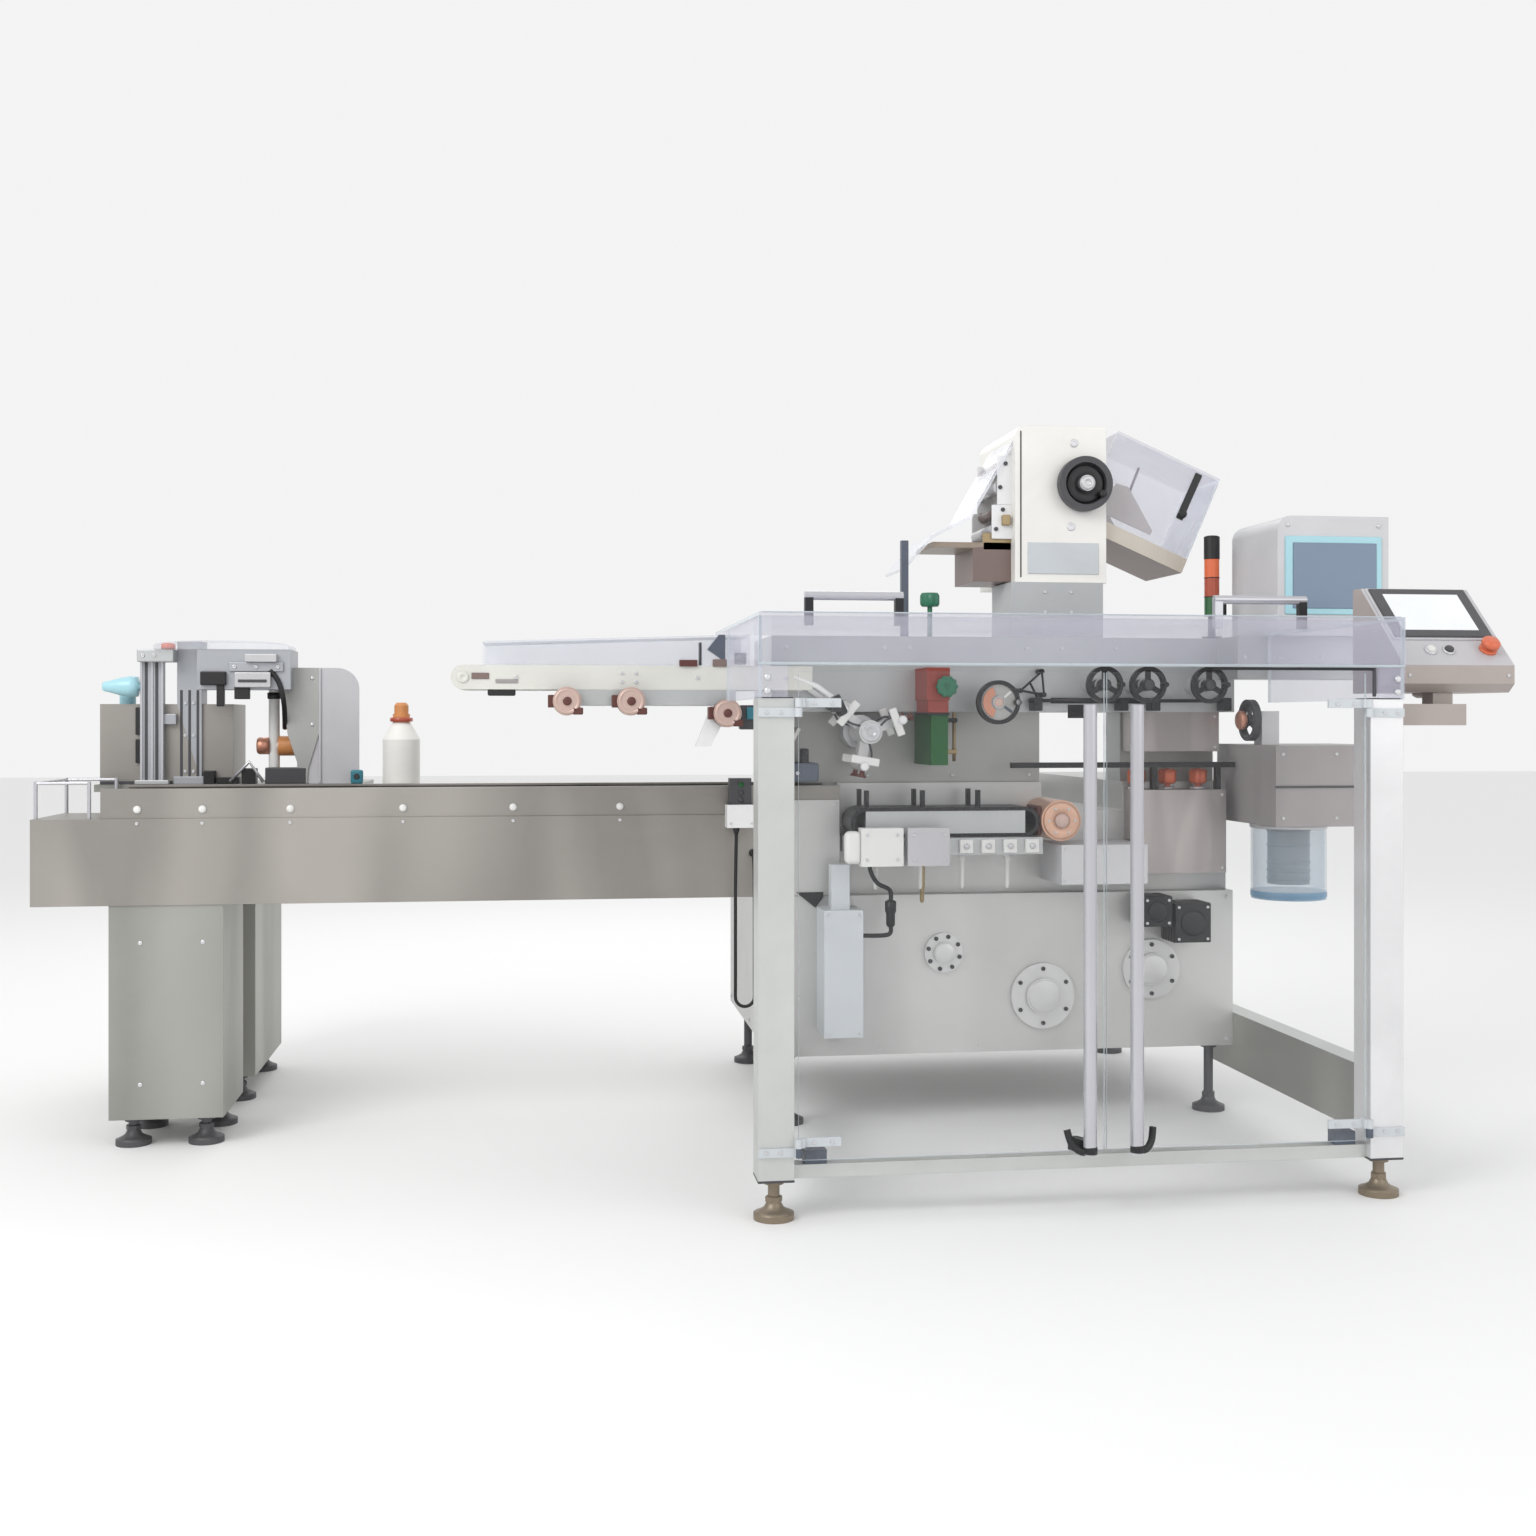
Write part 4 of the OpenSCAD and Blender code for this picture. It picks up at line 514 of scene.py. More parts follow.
class Shape:
    """A mesh under construction, in millimetres."""

    def __init__(self, name: str, slot: str, body: str = MACHINE) -> None:
        """Starts an empty mesh.

        Args:
            name: name of the piece.
            slot: the record's material slot for the piece; not used.
            body: body that the piece rides on.
        """
        self.name = name
        self.slot = slot
        self.body = body
        self.bm = bmesh.new()
        self.finishes: list[Finish] = []
        self.at = Matrix.Identity(4)

    def _number(self, finish: Finish) -> int:
        """Gives the slot number of a finish, adding it if it is new."""
        if finish not in self.finishes:
            self.finishes.append(finish)
        return self.finishes.index(finish)

    def box(self, low: Point, high: Point, finish: Finish, bevel: float = 1.5, segments: int = 2,
            turn: Matrix | None = None) -> "Shape":
        """Adds a box with rounded edges.

        Args:
            low: lowest corner.
            high: highest corner.
            finish: finish of the box.
            bevel: radius of the edges.
            segments: steps across each edge.
            turn: turn of the box about its middle.

        Returns:
            The shape itself.
        """
        size = Vector(high) - Vector(low)
        middle = Matrix.Translation((Vector(low) + Vector(high)) / 2)
        turned = turn.to_4x4() if turn else Matrix.Identity(4)
        place = self.at @ middle @ turned @ Matrix.Diagonal((*size, 1.0))
        made = set(bmesh.ops.create_cube(self.bm, size=1.0, matrix=place)["verts"])
        edges = list({e for v in made for e in v.link_edges})
        width = min(bevel, 0.45 * min(size))
        out = bmesh.ops.bevel(self.bm, geom=edges, offset=width, segments=segments, profile=0.5,
                              affect="EDGES")
        number = self._number(finish)
        for corner in {v for f in out["faces"] for v in f.verts}:
            for face in corner.link_faces:
                face.material_index = number
        return self

    def _skin(self, rings: Sequence[Sequence[bmesh.types.BMVert]], finish: Finish, smooth: bool) -> "Shape":
        """Joins rings of vertices into a closed skin."""
        number = self._number(finish)
        count = len(rings[0])
        for lower, upper in zip(rings, rings[1:]):
            for k in range(count):
                face = self.bm.faces.new((lower[k], lower[(k + 1) % count], upper[(k + 1) % count], upper[k]))
                face.smooth = smooth
                face.material_index = number
        for ring in (list(reversed(rings[0])), list(rings[-1])):
            self.bm.faces.new(ring).material_index = number
        return self

    def turned(self, at: Point, axis: Point, profile: Profile, finish: Finish,
               steps: int = 24, smooth: bool = True, lobes: int = 0) -> "Shape":
        """Adds a turned solid, or a lobed one.

        Args:
            at: start of the axis.
            axis: direction of the axis.
            profile: radius and distance along the axis of each ring.
            finish: finish of the solid.
            steps: sides of each ring.
            smooth: whether the sides are shaded as round.
            lobes: number of lobes around the rim, or 0 for a round one.

        Returns:
            The shape itself.
        """
        turn = Vector((0, 0, 1)).rotation_difference(Vector(axis).normalized()).to_matrix().to_4x4()
        place = self.at @ Matrix.Translation(Vector(at)) @ turn
        rings = []
        for radius, along in profile:
            ring = []
            for k in range(steps):
                a = 2 * math.pi * k / steps
                r = radius * (1.0 + (0.07 * math.cos(lobes * a) if lobes else 0.0))
                ring.append(self.bm.verts.new(place @ Vector((r * math.cos(a), r * math.sin(a), along))))
            rings.append(ring)
        return self._skin(rings, finish, smooth)

    def slab(self, outline: Profile, front: float, rear: float, finish: Finish,
             smooth: bool = False) -> "Shape":
        """Adds a sheet with an outline.

        Args:
            outline: x and z of the outline's points.
            front: y of the front face.
            rear: y of the rear face.
            finish: finish of the sheet.
            smooth: whether the rim is shaded as round.

        Returns:
            The shape itself.
        """
        rings = [[self.bm.verts.new(self.at @ Vector((x, y, z))) for x, z in outline] for y in (front, rear)]
        return self._skin(rings, finish, smooth)

    def each(self, points: Iterable[Point], axis: Point, profile: Profile, finish: Finish,
             steps: int = 24) -> "Shape":
        """Adds the same turned solid at each point."""
        for at in points:
            self.turned(at, axis, profile, finish, steps)
        return self

    def screws(self, points: Iterable[Point], axis: Point, head: float, finish: Finish = SCREW) -> "Shape":
        """Adds socket screws' heads, each with its hollow, standing on a face."""
        r = head / 2
        rings = [(r, -0.5), (r, 0.5 * r), (0.86 * r, 0.68 * r), (0.46 * r, 0.68 * r), (0.44 * r, 0.25 * r)]
        return self.each(points, axis, rings, finish, 14)

    def tube(self, route: Sequence[Point], radius: float, finish: Finish, steps: int = 10) -> "Shape":
        """Adds a round tube along a route of points."""
        points = [self.at @ Vector(p) for p in route]
        side = None
        rings = []
        for i, here in enumerate(points):
            ahead = (points[min(i + 1, len(points) - 1)] - points[max(i - 1, 0)]).normalized()
            side = ahead.orthogonal() if side is None else side
            side = (side - ahead * side.dot(ahead)).normalized()
            other = ahead.cross(side)
            rings.append([self.bm.verts.new(here + radius * (math.cos(a) * side + math.sin(a) * other))
                          for a in (2 * math.pi * k / steps for k in range(steps))])
        return self._skin(rings, finish, True)

    def done(self) -> bpy.types.Object:
        """Turns the mesh into a piece on its body and returns the object."""
        bmesh.ops.scale(self.bm, vec=(MM, MM, MM), verts=self.bm.verts)
        bmesh.ops.recalc_face_normals(self.bm, faces=self.bm.faces)
        mesh = bpy.data.meshes.new(self.name)
        self.bm.to_mesh(mesh)
        self.bm.free()
        for finish in self.finishes:
            mesh.materials.append(SHOP.get(finish))
        piece = bpy.data.objects.new(self.name, mesh)
        bpy.context.scene.collection.objects.link(piece)
        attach(piece, self.body)
        LOG.info("made %s with %d faces", self.name, len(mesh.polygons))
        return piece


def smooth_route(points: Sequence[Point], per_span: int = 6) -> list[Point]:
    """Draws a smooth curve through points.

    Args:
        points: points that the curve passes through.
        per_span: points on the curve for each span.

    Returns:
        The points of the curve.
    """
    p = [Vector(q) for q in points]
    out: list[Point] = []
    for i in range(len(p) - 1):
        a, b, c, d = p[max(i - 1, 0)], p[i], p[i + 1], p[min(i + 2, len(p) - 1)]
        for k in range(per_span):
            t = k / per_span
            q = 2 * b + (c - a) * t
            q += (2 * a - 5 * b + 4 * c - d) * t * t
            q += (3 * b - a - 3 * c + d) * t ** 3
            out.append(tuple(0.5 * q))
    out.append(tuple(p[-1]))
    return out


FRONT: Point = (0.0, -1.0, 0.0)
REAR: Point = (0.0, 1.0, 0.0)
UP: Point = (0.0, 0.0, 1.0)
DOWN: Point = (0.0, 0.0, -1.0)
LEFT: Point = (-1.0, 0.0, 0.0)
RIGHT: Point = (1.0, 0.0, 0.0)


@dataclass
class Infeed:
    """Infeed line: skirt, side rails, flighted chain, tail rail and pedestals."""

    stud_x: tuple[float, ...] = (-1527, -1365, -1144, -856, -570, -288)
    stud_d: float = 20
    stud_z: float = 872
    front_y: float = -46
    rear_y: float = 266

    def build(self) -> None:
        """Adds rail studs, panel screws and the tail plate."""
        studs = Shape("infeed_studs", "rod_steel")
        for y, way in ((self.front_y, FRONT), (self.rear_y, REAR)):
            studs.each(spots(self.stud_x, [y], [self.stud_z]), way, dome(self.stud_d), NATURAL)
            studs.screws(spots(self.stud_x, [y + 4 * way[1]], [836]), way, 9)
        studs.done()
        panel = Shape("pedestal_screws", "skirt_steel")
        for y, way in ((-45, FRONT), (985, REAR)):
            panel.each(spots((-1520, -1364), [y], (528, 163)), way, dome(12, 3), SCREW, 16)
        panel.box((-1560, 984.5, 200), (-1350, 987, 480), PEDESTAL, 1.0)
        panel.turned((-1372, 987, 340), REAR, dome(22, 5), BLACK, 20)
        panel.done()
        tail = Shape("tail_plate", "skirt_steel")
        tail.box((-1791.5, 10, 660), (-1788.5, 210, 810), SKIRT, 1.0)
        tail.screws(spots([-1791.5], (24, 196), (674, 796)), LEFT, 11)
        tail.done()
        plate = Shape("skirt_end_plate", "skirt_steel")
        plate.box((124, -52.5, 627), (308, -49.5, 886), BODY, 1.0)
        plate.screws(spots((138, 294), [-52.5], (641, 872)), FRONT, 8)
        plate.done()

    def dress(self) -> None:
        """Finishes the infeed solids."""
        for node, finish in (("infeed_skirt", SKIRT), ("infeed_rails", SKIRT), ("infeed_chain", CHAIN),
                             ("end_rail", TUBE), ("pedestals", PEDESTAL)):
            dress(node, finish)


@dataclass
class Feeder:
    """Product feeder on its rear stand, with the call post beside it."""

    front_y: float = 300
    table_z: float = 925
    tube: tuple[float, float] = (-1241, 340)

    def build(self) -> None:
        """Adds the mast's slots, the drive blocks, the lid and the sensor."""
        mast = Shape("feeder_mast_slots", "feeder_aluminium")
        for x in (-1489, -1467, -1445):
            mast.box((x, self.front_y - 1.4, self.table_z + 2), (x + 7, self.front_y + 1, 1186), DARK, 0.6)
        mast.screws(spots((-1475, -1453), [self.front_y], (960, 1060, 1150)), FRONT, 9)
        mast.box((-1506, 292, 925), (-1424, 303, 946), ALLOY)
        mast.done()
        lid = Shape("feeder_lid", "clear_sheet")
        turns = [math.pi * k / 24 for k in range(25)]
        arch = [(-1366 + 180 * math.cos(a), 1297.5 + 24 * math.sin(a) ** 0.4) for a in turns]
        lid.slab(arch, 226, 384, HOOD, True)
        lid.turned((-1512, 258, 1302), UP, [(19, -4), (19, 8), (15, 12), (4, 13)], ORANGE)
        lid.done()
        lift = Shape("lift_rail", "feeder_aluminium")
        lift.box((-1590, 275, 925), (-1528, 300, 1294), ALLOY, 2.0)
        for x in (-1590, -1562, -1535):
            lift.box((x, 271, 926), (x + 7, 276, 1290), TUBE, 1.5)
        for x in (-1578, -1550):
            lift.box((x, 273.6, 930), (x + 8, 275.4, 1288), DARK, 0.6)
        lift.box((-1592, 240, 1262), (-1495, 301, 1297), PLATE, 3.0)
        lift.box((-1530, 281, 1090), (-1496, 300, 1120), ALLOY, 2.0)
        lift.box((-1604, 268, 925), (-1514, 300, 937), PLATE, 2.0)
        for z0, z1 in ((1062, 1138), (984, 1050)):
            lift.box((-1606, 288, z0), (-1589, 300.5, z1), BLACK, 2.0)
        lift.screws(spots((-1575, -1545), [240], [1280]), FRONT, 10)
        lift.done()
        nozzle = Shape("blow_nozzle", "blue_clear")
        horn = [(12, 0), (12, 8), (28, 10), (29, 30), (24, 58), (17, 82), (13, 100), (10, 103), (7, 100)]
        nozzle.turned((-1588, 284, 1195), LEFT, horn, CYAN, 28)
        nozzle.done()
        wing = Shape("shield_wing", "white_paint")
        outline = [(-1218, 1249), (-1110, 1249), (-1112, 1063), (-1141, 966), (-1143, 926), (-1152, 926),
                   (-1197, 1063)]
        wing.slab(outline, 285.5, 289.8, BACK)
        wing.box((-1112, 284, 927), (-1106, 290.2, 1248), SHIELD, 1.5)
        wing.box((-1258, 284, 924.8), (-1147, 330, 970), DARK, 3.0)
        wing.each(spots([-1130], [285.5], (1220, 1090)), FRONT, dome(11, 3), SCREW, 16)
        wing.done()
        drive = Shape("feeder_drive_blocks", "black_plastic")
        drive.box((-1420, 214, 1198), (-1352, 231, 1236), BLACK, 3.0)
        drive.box((-1378, 222, 1140), (-1358, 244, 1200), BLACK, 2.0)
        drive.box((-1330, 218, 1160), (-1290, 240, 1196), BLACK, 2.0)
        drive.box((-1345, 221, 1236), (-1200, 231, 1262), ALLOY, 2.0)
        drive.box((-1328, 207, 1192), (-1232, 231, 1234), TURNED, 2.5)
        drive.box((-1318, 204, 1206), (-1242, 208, 1214), DARK, 1.0)
        drive.box((-1300, 204, 1262), (-1216, 231, 1284), TURNED, 2.0)
        drive.screws(spots((-1330, -1272, -1214), [221], [1249]), FRONT, 11)
        hose = [(-1235, 224, 1240), (-1212, 224, 1206), (-1200, 236, 1150), (-1206, 300, 1080)]
        drive.tube(smooth_route(hose), 7, BLACK)
        for x0, x1, z1 in ((-1424, -1394, 962), (-1388, -1330, 944), (-1322, -1284, 968)):
            drive.box((x0, 284, 925), (x1, 330, z1), BLACK, 2.0)
        drive.box((-1700, 288, 925), (-1510, 301, 934), DARK, 1.0)
        drive.tube([(-1352, 282, 932), (-1300, 282, 986), (-1262, 282, 930)], 5, TUBE)
        drive.done()
        motor = Shape("feeder_motor_cap", "orange_plastic")
        motor.turned((-1183, 340, 1030), RIGHT, dome(34, 9), WHITE)
        motor.turned((*self.tube, 1180), DOWN, [(19, 0), (19, 16), (16, 18)], BLACK)
        motor.turned((*self.tube, self.table_z), UP, [(26, 0), (26, 9), (20, 14), (18, 18)], NATURAL)
        motor.turned((-1256, 340, 1030), LEFT, [(24, -2), (24, 26), (20, 31), (5, 32)], COPPER)
        motor.done()
        eye = Shape("rail_sensor", "blue_clear")
        eye.box((-1022, 249, 924.5), (-988, 268, 964), TEAL, 6.0, 3)
        eye.turned((-1005, 249, 946), FRONT, [(8, -1), (8, 3), (6, 4), (5, 3)], SCREEN)
        eye.done()
        ring = Shape("call_button_ring", "orange_plastic")
        ring.turned((-888, 322, 1098), UP, [(31, 0), (32.5, 4), (32.5, 8), (31, 12)], RUST, 32)
        ring.done()

    def dress(self) -> None:
        """Finishes the feeder solids."""
        dress("feeder_stand", PEDESTAL)
        dress("feeder_frame", SKIRT,
              (ALLOY, lambda c, n: c.x > -1.4975 and c.z > 1.18),
              (ALLOY, lambda c, n: -1.498 < c.x < -1.43 and c.y < 0.385),
              (NATURAL, lambda c, n: -1.258 < c.x < -1.224 and c.z < 1.18),
              (MOTOR, lambda c, n: c.x > -1.2275 and c.z < 1.10),
              (CYAN, lambda c, n: c.x < -1.60 and c.z > 1.148))
        dress("feeder_shield", SHIELD)
        dress("call_post", WARM_WHITE, (MOTOR, lambda c, n: c.z > 1.097))


@dataclass
class Magazine:
    """Blank magazine: rails, belt, bed, hood and drive motors."""

    front_y: float = -250
    motors: tuple[tuple[float, float], ...] = ((-433, 1150), (-272, 1150), (-27, 1120))

    def build(self) -> None:
        """Adds rail screws, side stops, motor faces and the blank chute."""
        rail = Shape("magazine_screws", "rail_plastic")
        rail.screws(spots((-293, -257), [self.front_y], (1222, 1200)), FRONT, 9)
        rail.screws(spots((-560, -100, 80, 130), [self.front_y], [1211]), FRONT, 10)
        nose = [(15, -0.5), (15, 2.5), (12, 4), (5, 4), (4, 2)]
        rail.turned((-693, self.front_y, 1211), FRONT, nose, CREAM)
        rail.box((-672, -253, 1206), (-628, -249.5, 1222), BROWN, 1.5)
        rail.box((-612, -253, 1196), (-556, -249.5, 1206), TAUPE, 1.5)
        rail.box((-632, -249, 1164), (-562, -214, 1181), BLACK, 4.0)
        rail.turned((-693, -60, 1211), REAR, [(19, -0.5), (19, 4), (15, 6), (7, 6), (6, 4)], BLACK)
        rail.done()
        stops = Shape("magazine_stops", "black_plastic")
        stops.box((-146, -258, 1240), (-100, -236, 1257), MAROON, 2.0)
        stops.box((-60, -256, 1240), (-24, -238, 1259), BROWN)
        fin = [(-74, 1284), (-36, 1258), (-28, 1258), (-28, 1322), (-44, 1322)]
        stops.slab(fin, -254, -244, SLATE)
        stops.box((-4, -262, 1246), (26, -240, 1276), DARK, 3.0)
        stops.box((-96, -250, 1243), (-88, -236, 1302), DARK)
        stops.turned((11, -262, 1261), FRONT, dome(20, 7), BLACK)
        stops.done()
        caps = Shape("magazine_motor_faces", "copper_cap")
        rim = [(33, -0.5), (33, 3), (30, 4), (26, 4), (25, 2.5)]
        for x, z in self.motors:
            caps.turned((x, -302, z), FRONT, rim, PINK, 32)
            caps.turned((x, -302, z), FRONT, [(11, 1.5), (11, 6), (8, 8), (2, 8)], MAROON, 24)
            caps.screws(circle((x, -300, z), 18, range(45, 360, 90)), FRONT, 6)
            caps.box((x - 48, -292, z - 16), (x - 31, -258, z + 16), MAROON, 2.0)
            caps.box((x + 14, -306, z - 34), (x + 40, -270, z - 16), MAROON, 3.0)
        caps.box((12, -246, 1078), (56, -206, 1141), DARK, 4.0)
        caps.box((28, -251, 1104), (54, -245, 1136), TEAL, 3.0)
        caps.done()
        chute = Shape("blank_chute", "white_paint")
        for y in (-244, -72):
            chute.tube([(150, y, 1216), (214, y, 1190), (274, y, 1148)], 7, WHITE)
        chute.box((262, -250, 1132), (282, -66, 1146), BLACK, 3.0, turn=Matrix.Rotation(0.6, 3, "Y"))
        chute.done()

    def dress(self) -> None:
        """Finishes the magazine solids."""
        for name, finish in (("rails", CREAM), ("frame", PLATE), ("arm", WHITE), ("belt", BELT)):
            dress(f"magazine_{name}", finish)
        # The hood's side and bottom edges take the painted edge highlight.
        dress("magazine_hood", HOOD, (EDGE_HIGHLIGHT, lambda c, n: abs(n.x) > 0.9 or n.z < -0.9))
        dress("magazine_motors", BROWN, (PINK, lambda c, n: n.y < -0.9))


@dataclass
class Cabinet:
    """Main body: base cabinet, upper body, top frame, feet and round covers."""

    front_y: float = -50
    covers: tuple[tuple[float, float, float], ...] = ((596, 466, 54), (876, 342, 90), (1188, 410, 82))

    def build(self) -> None:
        """Adds cover bolts, panel screws, rear doors and vents."""
        bolts = Shape("cover_bolts", "cover_steel")
        for x, z, r in self.covers:
            count = 6 if r > 60 else 8
            turns = [30 + 360 * k / count for k in range(count)]
            bolts.screws(circle((x, -62, z), 0.83 * r, turns), FRONT, 12, DARK)
            boss = [(0.5 * r, -0.5), (0.5 * r, 1.2), (0.48 * r, 1.8), (0.1 * r, 1.8)]
            bolts.turned((x, -74, z), FRONT, boss, ROTOR, 36)
        bolts.screws(spots((138, 1412), [self.front_y], (208, 606)), FRONT, 11)
        bolts.screws(spots((420, 700, 1020), [self.front_y], [208]), FRONT, 9)
        bolts.done()
        cups = Shape("foot_cups", "foot_steel")
        for x, y, paint in self._feet():
            cups.turned((x, y, 0), UP, [(44, 8), (43, 15), (33, 19), (22, 26), (17, 36), (16, 40)], paint, 32)
            cups.turned((x, y, 38), UP, [(19, 0), (19, 11), (17, 13)], paint, 6, False)
        cups.done()
        beam = Shape("beam_screws", "plate_steel")
        for xs, y, z, head in (((160, 430, 500, 830, 930, 1085, 1400), -60, 1300, 11),
                               ((160, 400, 640, 860), 20, 950, 10),
                               ((1400, 1500, 1620, 1740), -200, 1273, 11)):
            beam.screws(spots(xs, [y], [z]), FRONT, head)
        beam.done()
        rear = Shape("rear_doors", "body_steel")
        for x0, x1 in ((150, 760), (790, 1400)):
            rear.box((x0, 899, 215), (x1, 904, 600), BODY, 2.0)
            rear.box((max(x0, 330), 899, 650), (x1, 904, 905), BODY, 2.0)
            for z in (407, 777):
                rear.box((x1 - 66, 903, z - 50), (x1 - 44, 907, z + 50), DARK, 2.0)
                rear.turned((x1 - 55, 906, z), REAR, dome(16, 4), SCREW)
            for x, z in ((x0, 245), (x0, 570), (max(x0, 330), 675), (max(x0, 330), 880)):
                rear.box((x - 6, 899, z - 22), (x + 12, 908, z + 22), TUBE, 3.0)
            for k in range(6):
                rear.box((x0 + 120, 903, 250 + 18 * k), (x0 + 330, 906, 258 + 18 * k), DARK, 1.0)
        rear.done()
        sides = Shape("side_panel_screws", "body_steel")
        for x, way in ((120, LEFT), (1430, RIGHT)):
            sides.screws(spots([x], (-20, 420, 870), (210, 605)), way, 10)
        sides.done()

    @staticmethod
    def _feet() -> list[tuple[float, float, Finish]]:
        """Gives the place and the finish of each levelling foot."""
        feet = [(x, y, FOOT) for x in (-1547, -1364) for y in (6, 209, 521, 934)]
        feet += [(x, y, FOOT) for x in (171, 1379) for y in (1, 849)]
        return feet + [(x, -880, BRONZE) for x in (9, 1430)]

    def dress(self) -> None:
        """Finishes the body solids."""
        dress("base_cabinet", BODY)
        dress("upper_body", BODY)
        dress("upper_frame", PLATE, (BACK, lambda c, n: n.y < -0.9 and c.z < 1.125))
        dress("levelling_feet", FOOT, (BRONZE, lambda c, n: c.y < -0.8))
        dress("bearing_covers", ROTOR)


@dataclass
class CartonFeed:
    """Suction rotor that opens the blanks, and the blank gate."""

    axis: tuple[float, float] = (362, 1071)
    front_y: float = -212
    arms_deg: tuple[float, ...] = (20, 140, 260)

    def build(self) -> None:
        """Adds the rotor's hub face, vacuum lines and the gate's knob and rods."""
        x0, z0 = self.axis
        hub = Shape("rotor_hub_face", "rotor_aluminium", "rotor")
        boss = [(27, -0.5), (27, 3), (24, 5), (10, 5), (9, 2)]
        hub.turned((x0, self.front_y, z0), FRONT, boss, TURNED, 32)
        hub.screws(circle((x0, self.front_y - 5, z0), 18, self.arms_deg), FRONT, 8)
        base = Vector((x0, 0, z0))
        line = ((30, 4), (52, 14), (74, 16), (90, 8))
        for deg in self.arms_deg:
            hub.at = Matrix.Identity(4)
            a = math.radians(deg)
            u, v = Vector((math.cos(a), 0, math.sin(a))), Vector((-math.sin(a), 0, math.cos(a)))
            for y in (-196, -82):
                p = [tuple(base + u * r + v * s + Vector((0, y, 0))) for r, s in line]
                hub.tube(smooth_route(p, 4), 3.0, DARK, 8)
            tip = base + u * 92
            for y, way in ((-212, FRONT), (-66, REAR)):
                hub.turned((tip.x, y, tip.z), way, [(10, -0.5), (10, 1), (8, 2), (3, 2)], WHITE, 20)
            hub.at = Matrix.Translation((x0, 0, z0)) @ Matrix.Rotation(math.radians(-deg), 4, "Y")
            for y in (self.front_y + 2, -80):
                hub.box((66, y, -38), (87, y + 12, 38), NATURAL, 3.0)
        hub.done()
        gate = Shape("gate_fittings", "gate_plastic")
        knob = [(12, -0.5), (12, 7), (28, 9), (28, 20), (23, 25), (8, 26), (7, 23)]
        gate.turned((566, -200, 1191), FRONT, knob, JADE, 40, lobes=10)
        gate.box((519, -196, 1122), (576, -62, 1157), RED, 3.0)
        gate.box((517, -192, 1115.5), (579, -62, 1123), BLACK, 2.0)
        for x in (592, 622):
            gate.tube([(x, -70, 990), (x, -70, 1124)], 5, TAN, 10)
        gate.box((584, -78, 1010), (630, -62, 1022), TAN, 2.0)
        gate.box((584, -78, 1096), (630, -62, 1108), BLACK, 2.0)
        gate.done()
        catch = Shape("blank_catch", "black_plastic")
        catch.box((128, -128, 938), (238, 21, 988), SLATE, 6.0, 3)
        catch.box((196, -120, 984), (212, -60, 1026), BLACK, 3.0)
        catch.box((140, -60, 1010), (152, 21, 1100), PLATE, 2.0, turn=Matrix.Rotation(0.5, 3, "Y"))
        catch.box((172, -60, 1004), (182, 21, 1086), NATURAL, 2.0, turn=Matrix.Rotation(0.5, 3, "Y"))
        catch.screws(spots((146, 180), [-128], [961]), FRONT, 10)
        catch.done()

    def dress(self) -> None:
        """Finishes the rotor and the gate."""
        dress("carton_rotor", ROTOR,
              (MAROON, lambda c, n: math.hypot(c.x - 0.362, c.z - 1.071) > 0.106))
        dress("blank_gate", RED, (GREEN, lambda c, n: c.z < 1.13))


@dataclass
class Transport:
    """Carton transport: bed, chain with lugs, guide blocks and rail."""

    pin_x: tuple[float, ...] = (392, 513, 629, 754)
    pipe_y: float = -150

    def build(self) -> None:
        """Adds the guide pins, the air pipe with its valve and block screws."""
        pins = Shape("bed_pins", "white_plastic")
        tops = spots(self.pin_x, [-130], [745.5])
        pins.each(tops, DOWN, [(9, 0), (9, 20), (6, 24), (6, 88), (4, 96), (1, 98)], NATURAL)
        for at in tops:
            pins.turned(at, DOWN, [(13, 0), (13, 8), (11, 10)], SCREW, 6, False)
        pins.done()
        pipe = Shape("air_pipe", "black_plastic")
        y = self.pipe_y
        upper = [(375, y, 745), (372, y, 705), (392, y, 668), (426, y, 648), (428, y, 615)]
        lower = [(428, y, 554), (428, y, 536), (412, y, 528), (350, y, 528)]
        for route in (upper, lower):
            pipe.tube(smooth_route(route), 6, BLACK)
        valve = [(9, 0), (15, 4), (15, 30), (12, 36), (12, 66), (8, 72)]
        pipe.turned((428, y, 622), DOWN, valve, BLACK)
        pipe.turned((523, -110, 745), DOWN, [(8, 0), (8, 94), (6, 96), (6, 130), (3, 136)], TAN)
        pipe.done()
        guide = Shape("guide_screws", "white_plastic")
        guide.screws(spots((345, 425, 470, 550), [-252], (738, 802)), FRONT, 9)
        for x in (600, 660, 720, 780):
            guide.box((x, -222, 750), (x + 36, -209, 786), NATURAL, 2.0)
            guide.turned((x + 18, -222, 768), FRONT, dome(16, 6), TURNED)
        guide.box((288, -250, 726), (331, -212, 812), NATURAL, 14.0, 4)
        guide.done()

    def dress(self) -> None:
        """Finishes the transport solids."""
        dress("transport_bed", PLATE)
        dress("transport_chain", CARRIER)
        dress("guide_blocks", NATURAL, (SHIELD, lambda c, n: c.x > 0.449))
        dress("guide_rail", BLACK)


